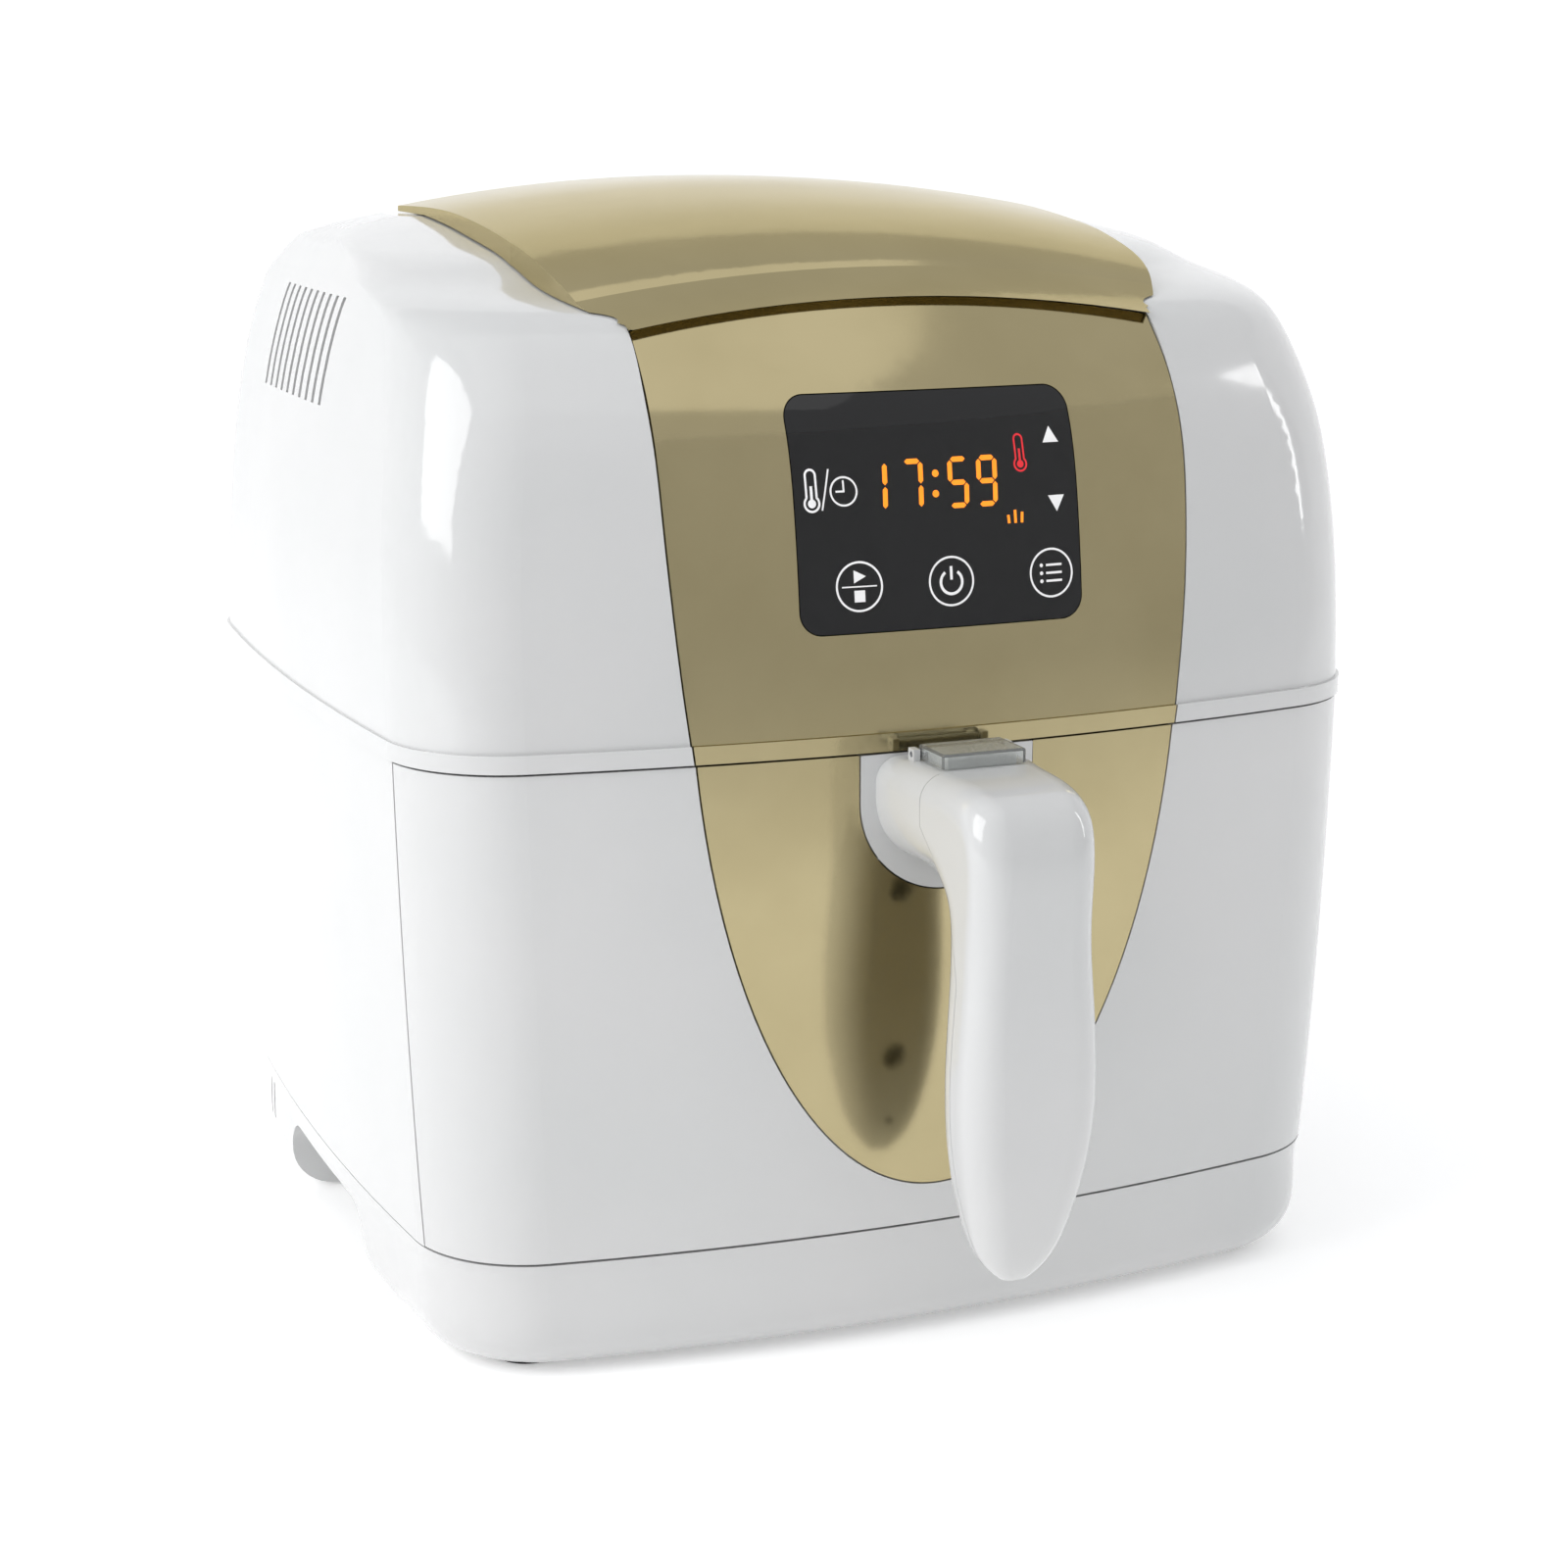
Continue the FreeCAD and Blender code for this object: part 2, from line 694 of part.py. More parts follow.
def cover_plan(inset=0.0):
    """Plan of the cover: straight sides that curl in to a narrower front lip."""
    half = COVER_HALF - inset
    lip = num("panel_half_width") - inset
    front = -103.0 + inset
    rear = COVER_REAR - inset
    curl = [Vector(half, -45, 0), Vector(half - 1.0, -62, 0), Vector(half - 3.4, -82, 0),
            Vector(lip + 5.8, -93.5, 0), Vector(lip + 0.9, -98.8, 0)]
    spline = Part.BSplineCurve()
    spline.interpolate(curl)
    mirrored = Part.BSplineCurve()
    mirrored.interpolate([Vector(-p.x, p.y, 0) for p in curl])
    front_right = Vector(lip, front, 0)
    front_left = Vector(-lip, front, 0)
    edges = [
        line(Vector(half, rear, 0), curl[0]),
        spline.toShape(),
        line(curl[-1], front_right),
        line(front_right, front_left),
        line(front_left, Vector(-curl[-1].x, curl[-1].y, 0)),
        mirrored.toShape(),
        line(Vector(-half, curl[0].y, 0), Vector(-half, rear, 0)),
        line(Vector(-half, rear, 0), Vector(half, rear, 0)),
    ]
    wire = Part.Wire(Part.__sortEdges__(edges))
    return Part.Face(wire).extrude(Vector(0, 0, 400))


def top_cover():
    """Arched cover with a rim that follows the casing's shoulders."""
    skin = cover_solid(COVER_MAIN).fuse(cover_solid(COVER_LIP)).common(cover_plan())
    under = upper_form(-0.4)
    hollow = cover_solid(COVER_MAIN, wall).fuse(cover_solid(COVER_LIP, wall)).common(cover_plan(2.6))
    shape = skin.cut(under).cut(hollow)
    shape = shape.cut(front_prism(panel_outline(0.4), -200.0, -60.0))
    posts = [cylinder(4.0, Vector(sx * 70.0, y, shell_top - 40), Vector(0, 0, 1), 70.0)
             for sx in (-1, 1) for y in (-20.0, 50.0)]
    posts = Part.makeCompound(posts).common(hollow.fuse(skin)).cut(upper_outer)
    shape = max(shape.Solids, key=lambda s: s.Volume)
    return shape.fuse(posts.Solids)


add_shape("top_cover", top_cover())

# ------------------------------------------------------------------ lower casing and base

lower_low = num("base_height") + 0.2
lower_shell = lower_form().cut(lower_form(wall))
drawer_seam = drawer_edge + num("seam_gap")


def switch_shelf():
    """Small shelf on the inner wall that carries the door switch."""
    shelf = box(120.5, 150.0, drawer_seam + 3.0, drawer_seam + 27.0, seam.value - 54.0, seam.value - 51.0)
    return shelf.common(lower_form(wall * 0.5))


GLAND_X = -70.0
GLAND_Z = 62.0
GLAND_RADIUS = 8.0


def lower_housing():
    """Sides and rear of the lower casing, open at the front for the drawer."""
    keep = box(-400, 400, drawer_seam, 400, lower_low, seam.value)
    shell = lower_shell.common(keep)
    inside = lower_form(wall * 0.5)
    posts = []
    bores = []
    for x, y in HOUSING_POSTS:
        post = cylinder(POST_RADIUS, Vector(x, y, lower_low), Vector(0, 0, 1), seam.value - lower_low)
        rib = box(min(x, x * 1.2), max(x, x * 1.2), y - 1, y + 1, lower_low, seam.value)
        posts += [post.common(inside), rib.common(inside)]
        bores.append(cylinder(SCREW_RADIUS + 0.3, Vector(x, y, lower_low - 1), Vector(0, 0, 1), 200))
    shell = shell.fuse(posts + [switch_shelf()]).cut(Part.makeCompound(bores))
    gland_hole = cylinder(GLAND_RADIUS + 0.2, Vector(GLAND_X, 60, GLAND_Z), Vector(0, 1, 0), 120)
    shell = shell.cut(gland_hole)
    return max(shell.Solids, key=lambda s: s.Volume)


add_shape("lower_housing", lower_housing())


def base_arch(grow=0.0):
    """Tunnel under the base from side to side, with round shoulders and flared feet."""
    top = 26.0 + grow
    outline = [(-55.0 - grow, -5.0), (-36.0 - grow, top), (44.0 + grow, top), (49.0 + grow, -5.0)]
    points = [Vector(-400, y, z) for y, z in outline]
    wire = Part.makePolygon(points + [points[0]])
    tunnel = Part.Face(wire).extrude(Vector(800, 0, 0))
    for y, z in outline[1:3]:
        along_x = [e for e in tunnel.Edges if e.BoundBox.XLength > 700 and
                   abs(e.BoundBox.Center.y - y) < 0.1 and abs(e.BoundBox.Center.z - z) < 0.1]
        tunnel = tunnel.makeFillet(13.0 + grow, along_x)
    return tunnel


FEET = [(sx * 108.0, y) for sx in (-1, 1) for y in (-98.0, 84.0)]


def base_tray():
    """Base moulding: rounded tray with an arch through both sides and four legs."""
    outer = base_form().common(slab(0, num("base_height") - 0.2))
    inner = base_form(wall).common(slab(num("foot_height") + wall, 200)).cut(base_arch(wall))
    floor_low = 26.0 + wall
    tray = outer.cut(base_arch()).cut(inner)
    posts = []
    cuts = []
    for x, y in HOUSING_POSTS:
        leg = cylinder(POST_RADIUS + 2, Vector(x, y, 0), Vector(0, 0, 1), num("base_height") - 0.2)
        posts.append(leg.common(outer).cut(base_arch()))
        cuts.append(cylinder(SCREW_RADIUS + 0.3, Vector(x, y, -1), Vector(0, 0, 1), 60))
        cuts.append(cylinder(3.7, Vector(x, y, -1), Vector(0, 0, 1), floor_low - 4))
    for x, y in FEET:
        cuts.append(cylinder(num("foot_radius"), Vector(x, y, 0), Vector(0, 0, 1), 2.0))
        posts.append(cylinder(num("foot_radius") + 2, Vector(x, y, 2), Vector(0, 0, 1), 3.0).common(outer))
    tray = tray.fuse(posts)
    slits = []
    for sx in (-1, 1):
        for i in range(5):
            y = 76.0 + 5.5 * i
            slits.append(box(min(0, sx * 200), max(0, sx * 200), y - 0.8, y + 0.8, 15.0, 27.0))
    keep_middle = box(-126, 126, -200, 200, 0, 40)
    tray = tray.cut(Part.makeCompound(slits).cut(keep_middle)).cut(Part.makeCompound(cuts))
    return max(tray.Solids, key=lambda s: s.Volume)


add_shape("base_tray", base_tray())


def group(label, pieces):
    return add_shape(label, Part.makeCompound(pieces))


def foot(x, y):
    pad_solid = cylinder(num("foot_radius"), Vector(x, y, 0), Vector(0, 0, 1), 2.0)
    rim = [e for e in pad_solid.Edges if e.BoundBox.ZMax < 0.01]
    return pad_solid.makeChamfer(0.4, rim)


group("rubber_feet", [foot(x, y) for x, y in FEET])


def screw(base, direction, shank, length, head, head_height):
    """Pan-head screw: base is under the head, direction runs along the shank."""
    direction = Vector(direction).normalize()
    body = cylinder(shank, base, direction, length)
    cap = cylinder(head, base - direction * head_height, direction, head_height)
    solid = body.fuse(cap)
    turn = Rotation(Vector(0, 0, 1), direction)
    slots = []
    for angle in (0, 90):
        bar = Part.makeBox(head * 1.1, 0.8, 0.9, Vector(-head * 0.55, -0.4, -head_height - 0.01))
        bar.Placement = Placement(base, turn.multiply(Rotation(Vector(0, 0, 1), angle)))
        slots.append(bar)
    return solid.cut(Part.makeCompound(slots))


group("housing_screws", [screw(Vector(x, y, 26.0 + wall - 5), Vector(0, 0, 1), SCREW_RADIUS - 0.05,
                               34.0, 3.4, 2.2) for x, y in HOUSING_POSTS])

# ------------------------------------------------------------------ handle and latch layout

neck_z = neck_mid.value
neck_t = num("neck_height") / 2
face_y = flange_face.value
BUTTON_FRONT = face_y - 20.4
BUTTON_REAR = face_y - 9.7
BUTTON_HALF = 9.8
BUTTON_TOP = neck_top.value + 2.9
BUTTON_MID = (BUTTON_FRONT + BUTTON_REAR) / 2
BUTTON_LIP = neck_top.value - 4.6
COVER_FRONT = face_y - 22.2
COVER_BACK = face_y - 5.9
COVER_X = 12.0
COVER_TOP = neck_top.value + 4.1
COVER_WALL = 0.8
KNUCKLE_Y = COVER_BACK - 1.6
KNUCKLE_Z = neck_top.value + 1.6
KNUCKLE_RADIUS = 1.4
COVER_PIN = 0.8
TONGUE_HALF = 20.0
TONGUE_LOW = neck_z - 13.0
TONGUE_HIGH = neck_z + 11.5
TONGUE_REAR = drawer_edge - 0.6
PIVOT_Y = face_y + 13.5
PIVOT_Z = neck_z + 5.0
PIN_RADIUS = 1.5
SCREW_SPOTS = [neck_z - 32.0, neck_z - 84.0]
SPRING_X = 6.2
SPRING_LOW = TONGUE_LOW + 6.2
CATCH_Z = TONGUE_LOW - 6.4
CATCH_THICK = 1.5

# ------------------------------------------------------------------ drawer front

drawer_low = num("base_height") + 0.5
drawer_high = seam.value - num("seam_gap") / 2
BACK_PLATE = 2.0
SKIN = 2.0

notch_hole = front_prism(notch_outline(num("handle_gap")))
trim_prism = front_prism(trim_outline())
drawer_space = box(-400, 400, -400, drawer_edge, drawer_low, drawer_high)


def drawer_front():
    """Hollow moulded front with a seat for the coloured panel and a U notch for the handle."""
    outer = lower_form().common(drawer_space)
    hollow = lower_form(wall).common(box(-400, 400, -400, drawer_edge + 1, drawer_low + wall, drawer_high - wall))
    seat = lower_form(SKIN + 0.2).cut(lower_form(SKIN + 0.2 + wall)).common(drawer_space)
    seat = seat.common(front_prism(trim_outline(7.0)))
    liner = front_prism(notch_outline(num("handle_gap") + wall)).common(outer)
    liner = liner.common(box(-400, 400, -400, drawer_edge - BACK_PLATE, 0, 400))
    shape = outer.cut(hollow).fuse([seat, liner])
    recess = lower_form().cut(lower_form(SKIN + 0.2)).common(front_prism(trim_outline(num("trim_gap"))))
    return shape.cut(recess).cut(notch_hole)


add_shape("drawer_front", max(drawer_front().Solids, key=lambda s: s.Volume))

trim = lower_form().cut(lower_form(SKIN)).common(trim_prism).common(drawer_space)
trim = trim.common(box(-400, 400, -400, -60, 0, 400)).cut(notch_hole)
add_shape("drawer_trim", trim)

SWITCH_X = 126.0
SWITCH_Z = seam.value - 45.0
plunger_tip = drawer_seam + 1.6


PAN_SPOTS = [(sx * 60.0, z) for sx in (-1, 1) for z in (80.0, 130.0)]
PAN_SCREW = 1.6


def pan_bores(radius):
    return Part.makeCompound([cylinder(radius, Vector(x, drawer_edge - 5, z), Vector(0, 1, 0), 15.0)
                              for x, z in PAN_SPOTS])


def drawer_back_plate():
    """Plate that closes the drawer front and carries the pan, open for the handle's tongue."""
    slice_y = box(-400, 400, drawer_edge - BACK_PLATE, drawer_edge, drawer_low + wall, drawer_high - wall)
    tongue_way = box(-TONGUE_HALF - 0.6, TONGUE_HALF + 0.6, -200, 0, TONGUE_LOW - 0.8, 400)
    shape = lower_form(wall + 0.2).common(slice_y).cut(tongue_way).cut(pan_bores(PAN_SCREW + 0.05))
    pusher = cylinder(3.0, Vector(SWITCH_X, drawer_edge, SWITCH_Z), Vector(0, 1, 0),
                      plunger_tip - 0.3 - drawer_edge)
    return shape.fuse(pusher)


add_shape("drawer_back_plate", drawer_back_plate())

# ------------------------------------------------------------------ pan and basket

chamber_half = num("chamber_width") / 2
pan_half = chamber_half - num("sheet_wall") - num("pan_gap")
pan_front = drawer_edge + 4.0
pan_rear = num("chamber_rear") - num("pan_gap")
basket_half = pan_half - num("basket_gap")
basket_front = pan_front + num("pan_wall") + 4.0
basket_rear = pan_rear - num("basket_gap")
basket_bottom = num("pan_bottom") + 9.0
basket_rim = num("pan_rim") - 3.0


def tub(half, front, rear, low, high, corner, bottom_round, thickness):
    """Deep-drawn tub: a rounded box, hollow from above."""

    def block(inset, z0, z1):
        solid = box(-half + inset, half - inset, front + inset, rear - inset, z0, z1)
        upright = [e for e in solid.Edges if e.BoundBox.ZLength > 1]
        solid = solid.makeFillet(corner - inset, upright)
        under = [e for e in solid.Edges if e.BoundBox.ZMax < z0 + 0.01]
        return solid.makeFillet(bottom_round - inset, under)

    return block(0.0, low, high).cut(block(thickness, low + thickness, high + 20))


def pan():
    """Non-stick pan with a rolled side rim that rides on the rails, lower at the front for the handle."""
    shape = tub(pan_half, pan_front, pan_rear, num("pan_bottom"), num("pan_rim"), 26.0, 14.0,
                num("pan_wall"))
    rims = []
    for sx in (-1, 1):
        x0 = sx * (pan_half - num("pan_wall"))
        x1 = sx * (pan_half + 4.3)
        rims.append(box(min(x0, x1), max(x0, x1), pan_front + 30, pan_rear - 30,
                        num("pan_rim") - 1.5, num("pan_rim")))
    spacers = [cylinder(4.0, Vector(x, drawer_edge, z), Vector(0, 1, 0), pan_front - drawer_edge + 0.6)
               for x, z in PAN_SPOTS]
    gap = box(-27, 27, pan_front - 5, pan_front + 8, num("pan_rim") - 22.0, num("pan_rim") + 5)
    return shape.fuse(rims + spacers).cut(gap).cut(pan_bores(PAN_SCREW + 0.3))


add_shape("pan", pan())
group("drawer_screws", [screw(Vector(x, pan_front + num("pan_wall"), z), Vector(0, -1, 0),
                              PAN_SCREW, 7.0, 3.4, 1.8) for x, z in PAN_SPOTS])


def basket():
    """Perforated basket: round holes in the floor, upright slots low in the walls."""
    shape = tub(basket_half, basket_front, basket_rear, basket_bottom, basket_rim, 22.0, 10.0,
                num("basket_wall"))
    cuts = []
    pitch = 14.0
    middle = (basket_front + basket_rear) / 2
    rows = int((basket_rear - basket_front - 34) / pitch / 2)
    columns = int((basket_half - 17) / pitch)
    for i in range(-columns, columns + 1):
        for j in range(-rows, rows + 1):
            cuts.append(cylinder(3.2, Vector(i * pitch, middle + j * pitch, basket_bottom - 1),
                                 Vector(0, 0, 1), 4.0))
    for i in range(-columns, columns + 1):
        cuts.append(box(i * pitch - 2, i * pitch + 2, basket_rear - 4, basket_rear + 4,
                        basket_bottom + 16, basket_bottom + 40))
    for j in range(-rows, rows + 1):
        y = middle + j * pitch
        cuts.append(box(-basket_half - 4, basket_half + 4, y - 2, y + 2, basket_bottom + 16, basket_bottom + 40))
    shape = shape.cut(Part.makeCompound(cuts))
    legs = [cylinder(4.0, Vector(sx * 70.0, middle + sy * 55.0, num("pan_bottom") + num("pan_wall")),
                     Vector(0, 0, 1), basket_bottom - num("pan_bottom") - num("pan_wall") + 0.5)
            for sx in (-1, 1) for sy in (-1, 1)]
    return shape.fuse(legs)


add_shape("basket", basket())

# ------------------------------------------------------------------ handle

grip_mid = grip_front.value + num("grip_depth") / 2
elbow_y = face_y - 39.5
grip_t = num("grip_depth") / 2
tip = num("grip_bottom")
grip_span = neck_z - 15.0 - tip
FLANGE = 3.2


def handle_section(y, z, tilt, half, thick, outer_round, inner_round, inset):
    """Closed section of the handle; tilt 0 faces the drawer, tilt 90 lies level across the grip."""
    half -= inset
    thick -= inset
    angle = math.radians(tilt)
    spots = []
    for sx, sv, radius in ((1, 1, outer_round), (-1, 1, outer_round), (-1, -1, inner_round), (1, -1, inner_round)):
        radius = max(radius - inset, 0.6)
        centre = (sx * (half - radius), sv * (thick - radius))
        on_side = (sx * half, centre[1])
        on_top = (centre[0], sv * thick)
        ends = (on_side, on_top) if sx * sv > 0 else (on_top, on_side)
        spots.append([Vector(across, y - up * math.sin(angle), z + up * math.cos(angle))
                      for across, up in (centre, *ends)])
    section = []
    for i, (centre, start, end) in enumerate(spots):
        section.append(bend(centre, start, end))
        section.append(straight(end, spots[(i + 1) % 4][1]))
    return section


def handle_form(inset=0.0):
    """Neck, elbow and grip as one smooth solid: sections from the drawer face to the tip."""
    w = num("neck_half_width")
    neck_rounds = (7.0, 19.0)
    sections = [
        (face_y + FLANGE, neck_z, 0, w, neck_t, *neck_rounds),
        (face_y - 12.0, neck_z, 0, w - 0.8, neck_t, *neck_rounds),
        (face_y - 24.0, neck_z - 0.3, 8, w - 2.0, neck_t + 0.3, 7.5, 17.0),
        (elbow_y, neck_z - 3.0, 45, w - 3.1, 18.0, 9.0, 12.0),
        (grip_mid + 1.4, neck_z - 19.0, 84, w - 3.6, grip_t + 0.6, 9.0, 11.0),
        (grip_mid + 0.6, tip + 0.80 * grip_span, 90, w - 3.1, grip_t, 9.0, 11.0),
        (grip_mid, tip + 0.57 * grip_span, 90, w - 1.7, grip_t, 9.3, 11.2),
        (grip_mid + 0.4, tip + 0.34 * grip_span, 90, w - 2.8, grip_t - 0.5, 9.6, 10.8),
        (grip_mid + 1.4, tip + 0.18 * grip_span, 90, w - 6.3, grip_t - 1.8, 9.4, 9.8),
        (grip_mid + 2.0, tip + 0.07 * grip_span, 90, w - 10.6, grip_t - 4.8, 7.0, 7.2),
    ]
    if inset:
        sections = sections[:-1]
    else:
        sections.append((grip_mid + 2.3, tip, 90, w - 17.0, grip_t - 9.3, 2.8, 2.8))
    return skin([handle_section(*s, inset=inset) for s in sections])


def seam_prism(shift):
    """Everything in front of the line where the two handle shells meet."""
    top = face_y - 23.5 - shift
    mid = grip_mid + 0.8 - shift
    points = [Vector(-60, top, 260), Vector(-60, top, neck_z + 1.5)]
    turn = arc(points[1], Vector(-60, (top * 0.42 + mid * 0.58), neck_z - 15.0), Vector(-60, mid, neck_z - 36.0))
    outline = [
        line(points[0], points[1]),
        turn,
        line(Vector(-60, mid, neck_z - 36.0), Vector(-60, mid, 0)),
        line(Vector(-60, mid, 0), Vector(-60, face_y - 200, 0)),
        line(Vector(-60, face_y - 200, 0), Vector(-60, face_y - 200, 260)),
        line(Vector(-60, face_y - 200, 260), points[0]),
    ]
    return Part.Face(Part.Wire(outline)).extrude(Vector(120, 0, 0))


handle_outer = handle_form()
handle_inner = handle_form(num("handle_wall"))


def screw_bosses(radius, y0, y1):
    return [cylinder(radius, Vector(0, y0, z), Vector(0, -1, 0), y0 - y1) for z in SCREW_SPOTS]


def handle_rear_shell():
    """Rear shell: flange, tongue through the drawer front, neck and the back of the grip."""
    inner = handle_inner
    shell = handle_outer.cut(inner).cut(seam_prism(-0.1))
    flange = front_prism(notch_outline(), face_y - 0.01, face_y + FLANGE)
    flange = flange.common(slab(0, drawer_high))
    tongue = box(-TONGUE_HALF, TONGUE_HALF, face_y, TONGUE_REAR, TONGUE_LOW, TONGUE_HIGH)
    hole = box(-TONGUE_HALF + 2.2, TONGUE_HALF - 2.2, face_y + FLANGE - 0.1, TONGUE_REAR + 1,
               TONGUE_LOW + 2.2, TONGUE_HIGH - 2.2)
    throat = box(-TONGUE_HALF + 2.2, TONGUE_HALF - 2.2, face_y - 8.0, face_y + FLANGE, TONGUE_LOW + 2.2,
                 TONGUE_HIGH - 2.2).common(inner)
    bosses = [b.common(handle_outer).cut(seam_prism(-0.1)) for b in screw_bosses(5.4, grip_mid + 14, grip_mid + 1)]
    shell = shell.fuse([flange, tongue] + bosses).cut(hole).cut(throat)
    recesses = screw_bosses(3.9, grip_mid + 20, grip_mid + 5)
    bores = screw_bosses(1.7, grip_mid + 20, grip_mid - 2)
    drain = cylinder(1.3, Vector(0, grip_mid + 20, tip + 12.0), Vector(0, -1, 0), 19.0)
    opening = box(-BUTTON_HALF - 0.3, BUTTON_HALF + 0.3, BUTTON_FRONT - 0.3, BUTTON_REAR + 0.3,
                  neck_z, neck_z + 40)
    toe_slot = box(-4.6, 4.6, PIVOT_Y - 3.5, PIVOT_Y + 4.5, TONGUE_LOW - 1, TONGUE_LOW + 3)
    lugs = []
    for sx in (-1, 1):
        x0 = sx * (COVER_X + 0.4)
        x1 = sx * (COVER_X + 2.2)
        lug = box(min(x0, x1), max(x0, x1), COVER_BACK - 3.4, COVER_BACK + 0.2, neck_top.value - 1.0,
                  KNUCKLE_Z + COVER_PIN + 0.7)
        lugs.append(lug)
    pin_holes = [
        cylinder(PIN_RADIUS, Vector(-30, PIVOT_Y, PIVOT_Z), Vector(1, 0, 0), 60),
        cylinder(COVER_PIN, Vector(-30, KNUCKLE_Y, KNUCKLE_Z), Vector(1, 0, 0), 60),
    ]
    ledge = cylinder(3.6, Vector(SPRING_X, BUTTON_MID, TONGUE_LOW - 2.0), Vector(0, 0, 1),
                     SPRING_LOW - TONGUE_LOW + 2.0).common(handle_outer)
    shell = shell.fuse(lugs + [ledge])
    shell = shell.cut(Part.makeCompound(recesses + bores + [drain, opening, toe_slot] + pin_holes))
    return max(shell.Solids, key=lambda s: s.Volume)


add_shape("handle_rear_shell", handle_rear_shell())


def handle_front_shell():
    """Front shell of the grip, with bosses that take the two screws."""
    shell = handle_outer.cut(handle_inner).common(seam_prism(0.1))
    bosses = [b.common(handle_outer) for b in screw_bosses(4.4, grip_mid + 0.5, grip_mid - 16)]
    pilots = screw_bosses(1.45, grip_mid + 3, grip_mid - 9)
    shell = shell.fuse(bosses)
    shell = shell.cut(Part.makeCompound(pilots))
    return max(shell.Solids, key=lambda s: s.Volume)


add_shape("handle_front_shell", handle_front_shell())
group("handle_screws", [screw(Vector(0, grip_mid + 5, z), Vector(0, -1, 0), 1.45, 12.5, 3.2, 2.0)
                        for z in SCREW_SPOTS])

# ------------------------------------------------------------------ release button, cover and latch

STEM_LOW = PIVOT_Z - 1.4
ARM_TOP = STEM_LOW - 0.5


def release_button():
    """Square button with a retaining lip and a stem that presses the latch lever."""
    cap = box(-BUTTON_HALF, BUTTON_HALF, BUTTON_FRONT, BUTTON_REAR, neck_top.value - 3.4, BUTTON_TOP)
    rim = [e for e in cap.Edges if e.BoundBox.ZMin > BUTTON_TOP - 0.01]
    cap = cap.makeFillet(0.8, rim)
    lip = box(-BUTTON_HALF - 1.4, BUTTON_HALF + 1.4, BUTTON_FRONT - 1.4, BUTTON_REAR + 1.4,
              BUTTON_LIP, neck_top.value - 3.0)
    stem = cylinder(2.6, Vector(0, BUTTON_MID - 1.0, STEM_LOW), Vector(0, 0, 1), BUTTON_LIP + 0.6 - STEM_LOW)
    return cap.fuse([lip, stem])


add_shape("release_button", release_button())


def button_cover():
    """Clear hinged hood over the button: top, front and two sides, on a cross pin at the rear."""
    outer = box(-COVER_X, COVER_X, COVER_FRONT, COVER_BACK, neck_top.value + 0.3, COVER_TOP)
    rim = [e for e in outer.Edges if e.BoundBox.ZMin > COVER_TOP - 0.01 or
           (e.BoundBox.ZLength > 1 and e.BoundBox.YMax < COVER_FRONT + 0.1)]
    outer = outer.makeFillet(0.7, rim)
    inner = box(-COVER_X + COVER_WALL, COVER_X - COVER_WALL, COVER_FRONT + COVER_WALL, COVER_BACK - 3.0,
                neck_top.value - 1, COVER_TOP - COVER_WALL)
    back = box(-COVER_X + COVER_WALL, COVER_X - COVER_WALL, COVER_BACK - 3.0, COVER_BACK + 1,
               neck_top.value - 1, neck_top.value + 0.5)
    hole = cylinder(COVER_PIN + 0.05, Vector(-30, KNUCKLE_Y, KNUCKLE_Z), Vector(1, 0, 0), 60)
    corner = box(-20, 20, KNUCKLE_Y, COVER_BACK + 1, neck_top.value - 1, COVER_TOP + 1)
    barrel = cylinder(KNUCKLE_RADIUS, Vector(-COVER_X, KNUCKLE_Y, KNUCKLE_Z), Vector(1, 0, 0), 2 * COVER_X)
    return outer.cut(inner).cut(back).cut(corner.cut(barrel)).cut(hole)


add_shape("button_cover", button_cover())
add_shape("cover_pin", cylinder(COVER_PIN, Vector(-COVER_X - 2.2, KNUCKLE_Y, KNUCKLE_Z),
                                Vector(1, 0, 0), 2 * COVER_X + 4.4))


def coil(radius, wire_radius, low, high, turns, x, y):
    """Compression spring: round wire swept along a helix."""
    pitch = (high - low - 2 * wire_radius) / turns
    helix = Part.makeHelix(pitch, pitch * turns, radius)
    start = Part.Wire([Part.Circle(Vector(radius, 0, 0), Vector(0, 1, 0), wire_radius).toShape()])
    spring = Part.Wire(helix.Edges).makePipeShell([start], True, True)
    move = FreeCAD.Matrix()
    move.move(Vector(x, y, low + wire_radius))
    return spring.transformGeometry(move)


add_shape("button_spring", coil(2.3, 0.35, SPRING_LOW + 0.05, BUTTON_LIP - 0.05, 6, SPRING_X, BUTTON_MID))


def latch_lever():
    """Bell-crank latch: the front arm lies under the button, the lower arm ends in a toe."""
    arm_front = BUTTON_FRONT + 2.0
    arm = box(-2.2, 2.2, arm_front, PIVOT_Y, ARM_TOP - 2.2, ARM_TOP)
    hub = cylinder(3.4, Vector(-4.0, PIVOT_Y, PIVOT_Z), Vector(1, 0, 0), 8.0)
    toe_low = TONGUE_LOW - 8.8
    leg = box(-4.0, 4.0, PIVOT_Y - 1.0, PIVOT_Y + 1.0, toe_low, PIVOT_Z)
    toe = box(-4.0, 4.0, PIVOT_Y - 3.0, PIVOT_Y + 1.0, toe_low, toe_low + 2.0)
    bore = cylinder(PIN_RADIUS + 0.05, Vector(-30, PIVOT_Y, PIVOT_Z), Vector(1, 0, 0), 60)
    return arm.fuse([hub, leg, toe]).cut(bore)


add_shape("latch_lever", latch_lever())
add_shape("latch_pin", cylinder(PIN_RADIUS, Vector(-TONGUE_HALF, PIVOT_Y, PIVOT_Z), Vector(1, 0, 0),
                                2 * TONGUE_HALF))

